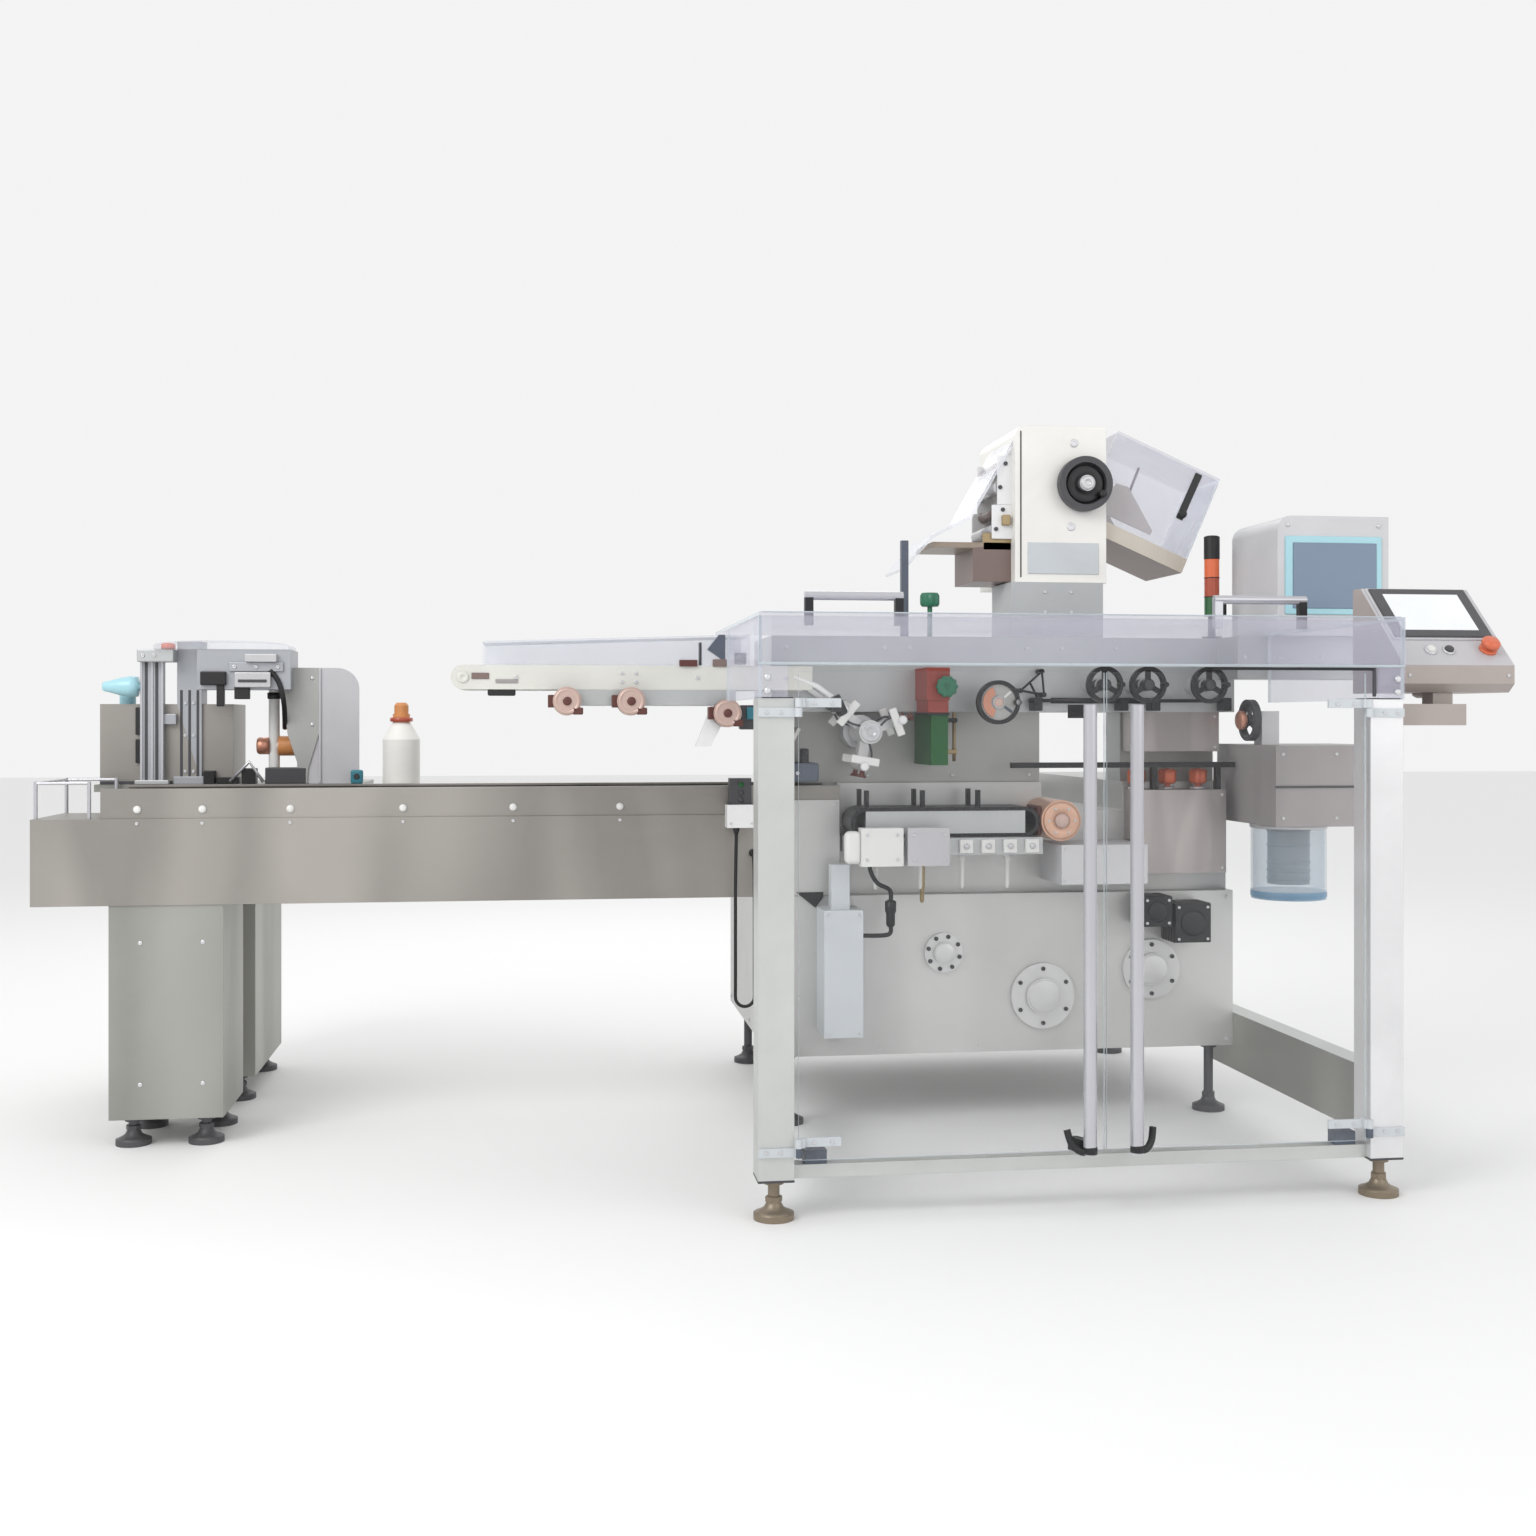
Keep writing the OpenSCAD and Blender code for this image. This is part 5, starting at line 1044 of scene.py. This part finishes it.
@dataclass
class Closing:
    """Closing station: covers, clamp knobs, press motor and servo motors."""

    knob_x: tuple[float, ...] = (1152, 1242, 1332)
    press: Point = (890, -180, 832)

    def build(self) -> None:
        """Adds cover screws, knob lobes, motor ends and the width spindle."""
        covers = Shape("closing_cover_screws", "cover_steel")
        for xs, y, zs, head in (((1142, 1373), -60, (1027, 1113), 8), ((1142, 1373), -110, (694, 896), 8),
                                ((897, 1113), -200, (673, 755), 8), ((256, 339), -170, (272, 586), 7)):
            covers.screws(spots(xs, [y], zs), FRONT, head)
        covers.slab([(188, 636), (262, 636), (262, 622), (240, 594)], -57, -49.5, BLACK)
        covers.done()
        knobs = Shape("knob_grips", "orange_plastic")
        grip = [(19, -16), (24, -10), (25, 18), (20, 25)]
        for x in self.knob_x:
            knobs.turned((x, -40, 941), UP, grip, ORANGE, 48, lobes=6)
            knobs.turned((x, -40, 965.5), UP, dome(14, 3), RUST)
            knobs.turned((x, -40, 910), UP, [(24, 0), (24, 4), (18, 7)], SCREW)
        knobs.turned((585, 60, 1421), UP, [(22, 0), (26, 7), (26, 30), (22, 38)], JADE, 48, lobes=8)
        knobs.done()
        motors = Shape("servo_fittings", "black_plastic")
        for x0, x1, z0, z1 in ((1130, 1210, 540, 620), (1220, 1320, 495, 600)):
            for k in range(5):
                y = -150 + 20 * k
                motors.box((x0 - 2, y, z0 - 2), (x1 + 2, y + 8, z1 + 2), BLACK, 1.0)
            middle = ((x0 + x1) / 2, -160, (z0 + z1) / 2)
            motors.turned(middle, FRONT, dome(0.7 * (x1 - x0), 8), BLACK, 32)
            motors.screws(spots((x0 + 9, x1 - 9), [-160], (z0 + 9, z1 - 9)), FRONT, 8)
            motors.box((x0 + 14, -120, z1 - 2), (x0 + 44, -92, z1 + 4), DARK, 3.0)
        motors.done()
        press = Shape("press_motor_ends", "copper_cap")
        shell = [(50, -0.5), (50, 5), (46, 8), (24, 8), (22, 5)]
        press.turned(self.press, FRONT, shell, PEACH, 40)
        press.turned(self.press, FRONT, [(20, 4), (20, 10), (16, 13), (4, 13)], PINK)
        press.screws(circle((890, -188, 832), 36, range(0, 360, 60)), FRONT, 7)
        press.box((828, -164, 790), (842, -60, 872), MAROON, 5.0)
        press.done()
        spindle = Shape("width_spindle", "black_plastic")
        spindle.tube([(826, -90, 1156), (1400, -90, 1156)], 5, BLACK)
        spindle.tube([(890, -90, 1156), (1190, -90, 1156)], 8, BLACK)
        for x in (836, 1080, 1172, 1378):
            spindle.box((x, -106, 1128), (x + 26, -59, 1164), BLACK, 3.0)
        links = ((802, 1183), (862, 1236), (868, 1172))
        for (x0, z0), (x1, z1) in zip(links, links[1:] + links[:1]):
            spindle.tube([(x0, -96, z0), (x1, -96, z1)], 3.2, BLACK, 8)
        spindle.tube([(828, -92, 1208), (850, -92, 1164)], 3.2, BLACK, 8)
        pivots = [(x, -60, z) for x, z in links]
        spindle.each(pivots, FRONT, [(7, -0.5), (7, 39), (5, 42), (2, 42)], BLACK, 18)
        spindle.done()

    def dress(self) -> None:
        """Finishes the closing station's solids."""
        dress("front_covers", COVER, (PALE_COVER, lambda c, n: c.x < 0.36),
              (LIGHT, lambda c, n: 0.36 < c.x < 1.127))
        dress("knobs", ORANGE, (JADE, lambda c, n: c.z > 1.2))
        dress("drive_motors", BLACK, (PEACH, lambda c, n: c.x < 1.0),
              (CORE, lambda c, n: c.x > 1.4))


@dataclass
class Handwheels:
    """The adjusting handwheels, their bushes and the bearing block."""

    wheels: tuple[tuple[str, str, float, float], ...] = (
        ("left", "handwheel_left", 1011, 1198), ("mid", "handwheel_mid", 1133, 1198),
        ("right", "handwheel_right", 1307, 1198), ("ring", "handwheel_ring", 715, 1150))
    front_y: float = -190
    web_y: float = -184

    def build(self) -> None:
        """Adds a hub cap and a collar to each wheel, a cap to the side wheel and a face to the ring wheel."""
        for name, body, x, z in self.wheels:
            cap = Shape(f"hub_cap_{name}", "bush_steel", body)
            paint = PINK if name == "ring" else DARK
            cap.turned((x, self.front_y, z), FRONT, [(13, -1), (13, 1.5), (10, 3), (2, 3.2)], paint, 28)
            collar = [(15.5, 0), (18, 2), (18, 10), (15.5, 12)]
            cap.turned((x, self.front_y + 30, z), REAR, collar, TURNED, 28)
            cap.done()
        side = Shape("side_wheel_cap", "copper_cap", "handwheel_side")
        knob = [(11, -1), (11, 5), (25, 7), (26, 10), (26, 20), (21, 24), (6, 25)]
        side.turned((1426, -150, 1102), LEFT, knob, COPPER, 32)
        side.done()
        face = Shape("ring_wheel_face", "copper_cap", "handwheel_ring")
        _, _, x, z = self.wheels[3]
        arc = [*circle((x, 0, z), 21, range(110, 251, 10)), *circle((x, 0, z), 43, range(250, 109, -10))]
        face.slab([(px, pz) for px, _, pz in arc], self.web_y - 3, self.web_y + 0.5, COPPER)
        for lean, paint in ((-40, NATURAL), (35, SLATE)):
            face.at = Matrix.Translation((x, self.web_y, z)) @ Matrix.Rotation(math.radians(lean), 4, "Y")
            face.box((20, -2.5, -3.5), (45, 0.5, 3.5), paint, 1.2)
        face.done()

    def dress(self) -> None:
        """Finishes the wheels."""
        def reach(c: Vector) -> float:
            """Gives a point's distance from the ring wheel's axis."""
            return math.hypot(c.x - 0.715, c.z - 1.15)

        for name, _, _, _ in self.wheels[:3]:
            dress(f"wheel_{name}", BLACK)
        dress("wheel_ring", BLACK,
              (BACK, lambda c, n: reach(c) < 0.0475 and abs(n.y) > 0.9 and c.y < -0.17),
              (TURNED, lambda c, n: reach(c) < 0.018))
        dress("wheel_side", DARK)
        dress("spindle_bushes", TURNED)
        dress("side_block", TURNED)


@dataclass
class Discharge:
    """Discharge box with the clear bowl under it."""

    split_z: float = 925
    bowl: tuple[float, float] = (1530, -190)

    def build(self) -> None:
        """Adds the box's seam and screws and the bowl's rim."""
        trim = Shape("discharge_trim", "tray_paint")
        trim.box((1428, -333, self.split_z - 3), (1772, -329, self.split_z + 3), DARK, 1.0)
        trim.screws(spots((1450, 1600, 1750), [-330], (1012, 842)), FRONT, 9)
        trim.screws(spots([1770], (-300, -140, 30), (1012, 842)), RIGHT, 9)
        trim.done()
        rim = Shape("bowl_rim", "bush_steel")
        rim.turned((*self.bowl, 819), DOWN, [(103, -1), (103, 9), (101, 11), (100.4, 11)], TURNED, 48)
        rim.turned((*self.bowl, 617), DOWN, [(24, -1), (24, 4), (18, 6), (4, 6)], TURNED, 32)
        band = [(92, -0.5), (99, 2), (101.2, 8), (101.2, 20), (100.2, 22)]
        rim.turned((*self.bowl, 616), UP, band, TINT_EDGE, 56)
        ribs = [(*self.bowl, z) for z in (668, 690, 712, 760, 800)]
        rim.each(ribs, UP, [(56, -1), (58.5, 0), (58.5, 6), (56, 7)], CORE, 48)
        rim.done()

    def dress(self) -> None:
        """Finishes the box and the bowl."""
        dress("discharge_box", TAUPE)
        dress("bowl", TINT)


@dataclass
class Guard:
    """Guard: posts, base, clear canopy and the two clear doors."""

    strap_y: float = -926

    def build(self) -> None:
        """Adds the canopy's legs, seal, painted edge highlights and screws, hinge screws and post caps."""
        legs = Shape("canopy_legs", "clear_sheet")
        for x0, x1 in ((-31, 34), (1405, 1470)):
            legs.box((x0, -930.5, 1152), (x1, -921.5, 1224), SHEET, 3.0)
        legs.each(spots((-12, 1451), [-930.5], (1166, 1196)), FRONT, dome(15, 6), SCREW, 20)
        legs.done()
        seal = Shape("canopy_seal_and_edge_highlights", "black_plastic")
        seal.box((1010, -921.5, 1216), (1396, -915, 1229), BLACK, 2.0)
        seal.box((1396, -921.5, 1156), (1404, -915, 1229), DARK, 2.0)
        # Two thin whitish strips along the canopy's top and bottom front edges: painted edge highlights.
        seal.box((-24, -926, 1338), (1463, -914, 1340.5), EDGE_HIGHLIGHT, 1.0)
        seal.box((-31, -932, 1222.5), (1470, -921, 1229), EDGE_HIGHLIGHT, 2.5, 3)
        seal.done()
        plates = Shape("hinge_screws", "post_aluminium")
        plates.screws(spots((-14, 18, 1421, 1453), [self.strap_y], (1119, 157)), FRONT, 8)
        for x in (-31, 1390):
            plates.box((x - 1, -921, 88), (x + 81, -839, 94), DARK, 2.0)
            plates.box((x + 2, -918, 1149.5), (x + 78, -842, 1153), DARK, 1.5)
        plates.done()
        for side, body, xs in (("left", "door_left", (92, 132)), ("right", "door_right", (1307, 1347))):
            screws = Shape(f"{side}_strap_screws", "post_aluminium", body)
            screws.screws(spots(xs, [-924], (1139, 176)), FRONT, 8)
            screws.done()
        for side, body, x, way in (("left", "door_left", 705, -1), ("right", "door_right", 813, 1)):
            hook = Shape(f"{side}_grip_end", "black_plastic", body)
            bend = [(x, -969, 146), (x + 20 * way, -966, 145), (x + 38 * way, -954, 160),
                    (x + 46 * way, -944, 190)]
            hook.tube(smooth_route(bend), 8, BLACK)
            ring = [(13, 0), (15.6, 2), (15.6, 16), (15.1, 18)]
            hook.turned((x, -970, 139.5), UP, ring, BLACK, 32)
            hook.done()
        stop = Shape("left_door_stop", "black_plastic", "door_left")
        stop.box((132, -910.5, 1120), (156, -902, 1152), DARK, 2.0)
        barrel = [(11, -6), (13, -2), (13, 36), (10, 41), (3, 42)]
        stop.turned((144, -896, 1150), (0.45, 0.0, -0.9), barrel, BLACK)
        stop.done()

    def dress(self) -> None:
        """Finishes the guard solids."""
        for side in ("left", "right"):
            # The doors' edges take the painted edge highlight.
            dress(f"{side}_door", DOOR, (EDGE_HIGHLIGHT, lambda c, n: abs(n.y) < 0.5),
                  (PALE_COVER, lambda c, n: c.y < -0.9185))
            dress(f"{side}_handle", TUBE, (BLACK, lambda c, n: c.y > -0.953))
        # The right post takes the lighter copy of the post finish as a painted highlight.
        dress("guard_posts", POST, (LIT_POST, lambda c, n: c.x > 1.3))
        dress("guard_base", POST, (PEDESTAL, lambda c, n: n.x < -0.9))
        dress("guard_fittings", PALE_COVER,
              (SLATE, lambda c, n: c.z < 0.16 and (0.05 < c.x < 0.14 or 1.30 < c.x < 1.389)))
        # The canopy's bottom and end edges take the painted edge highlight.
        dress("canopy_top", SHEET, (EDGE_HIGHLIGHT, lambda c, n: n.z < -0.9 and c.z < 1.25),
              (EDGE_HIGHLIGHT, lambda c, n: abs(n.x) > 0.9))
        # The end panels' edges take the painted edge highlight.
        dress("canopy_ends", SHEET, (EDGE_HIGHLIGHT, lambda c, n: abs(n.x) < 0.5))
        dress("canopy_handles", TUBE,
              (BLACK, lambda c, n: c.z < 1.40 and (c.x < 0.6 or c.x > 1.42)))


@dataclass
class Controls:
    """Operator console, control box and tower light."""

    face_x: float = 1509
    face_low: tuple[float, float] = (-850, 1232)
    face_high: tuple[float, float] = (-640, 1427)
    tower: tuple[float, float] = (1389, 0)

    def build(self) -> None:
        """Adds the console's screen and buttons and the control box's window."""
        rise = Vector((0, self.face_high[0] - self.face_low[0], self.face_high[1] - self.face_low[1]))
        up = rise.normalized()
        out = Vector((1, 0, 0)).cross(up)
        place = Matrix((Vector((1, 0, 0)), up, out)).transposed().to_4x4()
        place.translation = Vector((self.face_x, *self.face_low))
        panel = Shape("console_face", "black_plastic")
        panel.at = place
        panel.box((8, 90, -1), (272, 284, 4), SHIELD, 2.0)
        panel.box((14, 96, 0), (266, 279, 8), DARK, 4.0, 3)
        panel.box((42, 120, 6), (238, 256, 9), PALE_SCREEN, 1.0)
        for x, paint in ((88, NATURAL), (134, DARK)):
            panel.turned((x, 52, -1), UP, [(15, 0), (15, 4), (13, 6)], SCREW)
            panel.turned((x, 52, 4), UP, dome(22, 9), paint)
        stop = [(21, 0), (21, 6), (18, 8), (10, 8), (10, 16), (22, 18), (22, 26), (16, 32), (3, 33)]
        panel.turned((236, 56, -1), UP, stop, ORANGE, 32)
        panel.done()
        shell = Shape("console_screws", "console_paint")
        shell.screws(spots((1524, 1774), [-850], [1208]), FRONT, 8)
        shell.screws(spots((1524, 1774), [-600], (1190, 1405)), REAR, 8)
        shell.box((1560, -601, 1215), (1740, -597, 1390), CONSOLE, 2.0)
        shell.turned((1649, -715, 1168), DOWN, [(40, -1), (40, 6), (30, 12)], CONSOLE, 32)
        shell.done()
        window = Shape("control_window", "white_paint")
        window.box((1492, -255, 1388), (1768, -249, 1600), CYAN, 4.0, 3)
        window.box((1512, -257, 1404), (1752, -253, 1582), PANEL, 2.0)
        for k in range(7):
            window.box((1788, -160, 1400 + 20 * k), (1792, -20, 1409 + 20 * k), DARK, 1.0)
        window.each(spots((1500, 1760), [-250], (1350, 1630)), FRONT, dome(12, 4), SCREW)
        window.box((1500, 49, 1360), (1760, 53, 1630), LIGHT, 2.0)
        window.done()
        rings = Shape("tower_rings", "black_plastic")
        joints = [(*self.tower, z) for z in (1397, 1450, 1504, 1558)]
        rings.each(joints, UP, [(20, 0), (21.8, 0.6), (21.8, 2.4), (20, 3)], BLACK, 36)
        rings.turned((*self.tower, 1621), UP, dome(40, 5), BLACK, 36)
        rings.box((1400, -24, 1398), (1424, 0, 1440), BLACK, 3.0)
        rings.done()

    def dress(self) -> None:
        """Finishes the console, the control box and the tower light."""
        dress("console", CONSOLE, (SHIELD, lambda c, n: n.y < -0.3 and n.z > 0.3))
        dress("control_box", LIGHT)
        dress("tower_light", BLACK, (LEAF, lambda c, n: 1.397 <= c.z < 1.4505),
              (RUST, lambda c, n: 1.4505 <= c.z < 1.5045),
              (AMBER, lambda c, n: 1.5045 <= c.z < 1.558))


@dataclass
class Folder:
    """Leaflet folder: head on its stand, tray, covers and delivery."""

    front_y: float = 100
    wheel: tuple[float, float] = (1041, 1776)

    def build(self) -> None:
        """Adds the head's screws, a painted shadow along its seam, the side rollers and the tray's stop."""
        head = Shape("folder_head_screws", "white_paint")
        lugs = [(1017, self.front_y, 1896), (1008, self.front_y, 1656)]
        head.each(lugs, FRONT, [(12, -0.5), (12, 2), (10, 3), (5, 3), (4, 2)], SCREW)
        head.screws(spots((928, 1005), [90], (1468, 1411, 1354)), FRONT, 10)
        # A thin dark strip along the head's panel seam: painted shadow.
        head.box((858, 98.6, 1510), (862, 101, 1928), SEAM_SHADOW, 0.8)
        head.box((880, 97, 1520), (1090, 101, 1610), PALE_COVER, 2.0)
        head.box((900, 479, 1540), (1070, 483, 1900), WHITE, 2.0)
        head.done()
        hub = Shape("folder_wheel_face", "black_plastic", "folder_handwheel")
        x, z = self.wheel
        hub.turned((x, 50, z), FRONT, [(20, -1), (20, 2), (17, 4), (7, 4), (6, 2)], TURNED, 32)
        hub.turned((x, 75, z), FRONT, [(56, -1), (56, 3), (50, 6), (30, 6), (26, 4)], BLACK, 48)
        crank = [(9, 0), (9, 14), (11, 26), (9, 30), (3, 31)]
        hub.turned((x + 46, 76, z - 30), FRONT, crank, BLACK, 24)
        hub.done()
        side = Shape("folder_side_rollers", "rod_steel")
        for rx, rz, r, paint in ((824, 1838, 15, BROWN), (808, 1770, 17, TURNED),
                                 (816, 1706, 14, BROWN), (796, 1650, 16, TURNED)):
            side.turned((rx, 140, rz), REAR, [(r, 0), (r, 210), (r - 3, 212)], paint, 24)
            side.turned((rx, 128, rz), REAR, [(6, 0), (6, 240), (4, 242)], DARK, 16)
        for y in (132, 354):
            side.box((784, y, 1622), (844, y + 6, 1720), WHITE, 2.0)
            side.box((800, y, 1720), (844, y + 6, 1862), WHITE, 2.0)
        side.box((760, 140, 1590), (844, 150, 1640), TAN, 2.0)
        side.box((812, 118, 1660), (836, 134, 1690), TAN, 3.0)
        side.done()
        feed = Shape("leaflet_rollers", "rod_steel")
        for rx, rz, r, paint in ((1142, 1722, 15, TURNED), (1176, 1762, 11, BROWN)):
            feed.turned((rx, 150, rz), REAR, [(r - 2, 0), (r, 2), (r, 250), (r - 2, 252)], paint, 24)
        cheek = [(1113.5, 1700), (1150, 1690), (1262, 1642), (1268, 1654), (1196, 1780), (1160, 1790),
                 (1113.5, 1740)]
        for y in (146, 398):
            feed.slab(cheek, y, y + 5, CREAM_DARK)
        for y in (160, 390):
            feed.tube([(1232, y, 1838), (1180, y, 1706)], 4, BROWN)
        feed.done()
        stop = Shape("tray_stop", "black_plastic")
        stop.box((1362, 125, 1680), (1384, 131, 1826), BLACK, 3.0, turn=Matrix.Rotation(0.43, 3, "Y"))
        stop.turned((1352, 126, 1702), FRONT, dome(26, 8), BLACK)
        stop.done()

    def dress(self) -> None:
        """Finishes the folder's solids."""
        def reach(c: Vector) -> float:
            """Gives a point's distance from the wheel's axis."""
            return math.hypot(c.x - 1.041, c.z - 1.776)

        dress("folder_head", WARM_WHITE, (STAND, lambda c, n: c.z < 1.495))
        dress("folder_wheel", DARK, (BLACK, lambda c, n: n.y < -0.9 and 0.02 < reach(c) < 0.058),
              (TURNED, lambda c, n: c.y < 0.062 and reach(c) < 0.024))
        dress("folder_tray", CREAM_DARK, (BROWN, lambda c, n: n.z < -0.5))
        # The cover's right-facing edges take the painted edge highlight.
        dress("folder_cover", SHEET, (EDGE_HIGHLIGHT, lambda c, n: n.x > 0.5))
        dress("delivery_guard", HOOD)
        dress("delivery_unit", BROWN, (SHELF, lambda c, n: c.z > 1.59),
              (SLATE, lambda c, n: c.x < 0.54))


@dataclass
class PendantStation:
    """The pendant in its holder, and its hanging cord."""

    cord_d: float = 9
    route: tuple[Point, ...] = (
        (20, -90, 810.66), (20, -90, 780), (19, -90, 720), (18, -90, 650), (18, -90, 580), (18, -90, 510),
        (18, -90, 440), (18, -90, 395), (18, -90, 362), (21.4, -90, 349.3), (30.8, -90, 339.9),
        (43.5, -90, 336.5), (56.3, -90, 339.9), (65.6, -90, 349.3), (69, -90, 362), (69, -90, 395),
        (69, -90, 450), (69, -90, 520), (69, -90, 590), (69, -88, 650), (69, -84, 700), (69, -76, 728),
        (69, -64, 740), (69, -54.34, 743))

    def build(self) -> None:
        """Makes the cord, its two glands and the pendant's buttons."""
        points = smooth_route(self.route, 4)
        cord = Shape("pendant_lead", "cord_rubber").tube(points, self.cord_d / 2, RUBBER, 12).done()
        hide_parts("pendant_cord")
        hand = Shape("pendant_fittings", "black_plastic")
        for z, paint in ((930, GREEN), (908, DARK), (890, DARK)):
            hand.turned((32, -98, z), FRONT, dome(15, 5), paint)
        hand.turned((20, -90, 815.5), DOWN, [(9, 0), (9, 6), (7, 12), (5.5, 18)], BLACK)
        hand.turned((69, -50.5, 744), FRONT, [(10, 0), (10, 5), (7, 9)], BLACK)
        hand.screws(spots((4, 60), [-106], [827]), FRONT, 7)
        hand.done()

    def dress(self) -> None:
        """Finishes the holder and the handset."""
        dress("pendant", DARK, (WHITE, lambda c, n: c.z < 0.8775 and n.z < 0.9))


@dataclass
class Studio:
    """Floor, light and camera."""

    eye: Point = (-0.52, -4.60, 1.10)
    heading_deg: float = 7.9
    focal_px: float = 1699.0
    picture_px: float = 1536.0
    horizon_px: float = 721.0
    floor_size: float = 60.0

    def build(self) -> None:
        """Makes the camera, the floor and the lights."""
        self._camera()
        self._floor()
        self._lights()

    def _camera(self) -> None:
        """Puts the camera where the photograph was taken from."""
        lens = bpy.data.cameras.new("photo_camera")
        lens.sensor_width = 36.0
        lens.lens = 36.0 * self.focal_px / self.picture_px
        lens.shift_y = (self.horizon_px - self.picture_px / 2) / self.picture_px
        camera = bpy.data.objects.new("photo_camera", lens)
        camera.location = self.eye
        camera.rotation_euler = (math.radians(90), 0.0, math.radians(-self.heading_deg))
        bpy.context.scene.collection.objects.link(camera)
        bpy.context.scene.camera = camera

    def _floor(self) -> None:
        """Lays a plain pale floor."""
        mesh = bpy.data.meshes.new("floor")
        half = self.floor_size / 2
        corners = [(-half, -half, 0), (half, -half, 0), (half, half, 0), (-half, half, 0)]
        mesh.from_pydata(corners, [], [(0, 1, 2, 3)])
        floor = bpy.data.objects.new("floor", mesh)
        material = bpy.data.materials.new("pale_floor")
        material.use_nodes = True
        shader = material.node_tree.nodes["Principled BSDF"]
        shader.inputs["Base Color"].default_value = (0.86, 0.86, 0.86, 1.0)
        shader.inputs["Roughness"].default_value = 0.75
        mesh.materials.append(material)
        bpy.context.scene.collection.objects.link(floor)

    def _lights(self) -> None:
        """Hangs large soft lights over and in front of the machine."""
        world = bpy.data.worlds.new("studio")
        world.use_nodes = True
        world.node_tree.nodes["Background"].inputs["Color"].default_value = (1.0, 1.0, 1.0, 1.0)
        world.node_tree.nodes["Background"].inputs["Strength"].default_value = 0.90
        bpy.context.scene.world = world
        for name, where, aim, size, power in (
                ("key", (-3.4, -3.4, 4.0), (0.2, 0.0, 0.8), 2.6, 120.0),
                ("fill", (3.6, -4.2, 2.6), (0.6, 0.0, 0.8), 3.0, 30.0),
                ("back", (0.0, 4.5, 4.5), (0.0, 0.0, 0.8), 3.5, 60.0)):
            lamp = bpy.data.lights.new(name, "AREA")
            lamp.energy = power
            lamp.size = size
            light = bpy.data.objects.new(name, lamp)
            light.location = where
            light.rotation_euler = (Vector(aim) - Vector(where)).to_track_quat("-Z", "Y").to_euler()
            bpy.context.scene.collection.objects.link(light)
        bpy.context.scene.view_settings.view_transform = "Standard"


def main() -> None:
    """Builds and dresses each sub-assembly in turn."""
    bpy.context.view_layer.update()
    Studio().build()
    for part in (PendantStation(), Infeed(), Feeder(), Magazine(), Cabinet(), CartonFeed(), Transport(),
                 Closing(), Handwheels(), Discharge(), Guard(), Controls(), Folder()):
        part.build()
        part.dress()


if __name__ == "__main__":
    main()
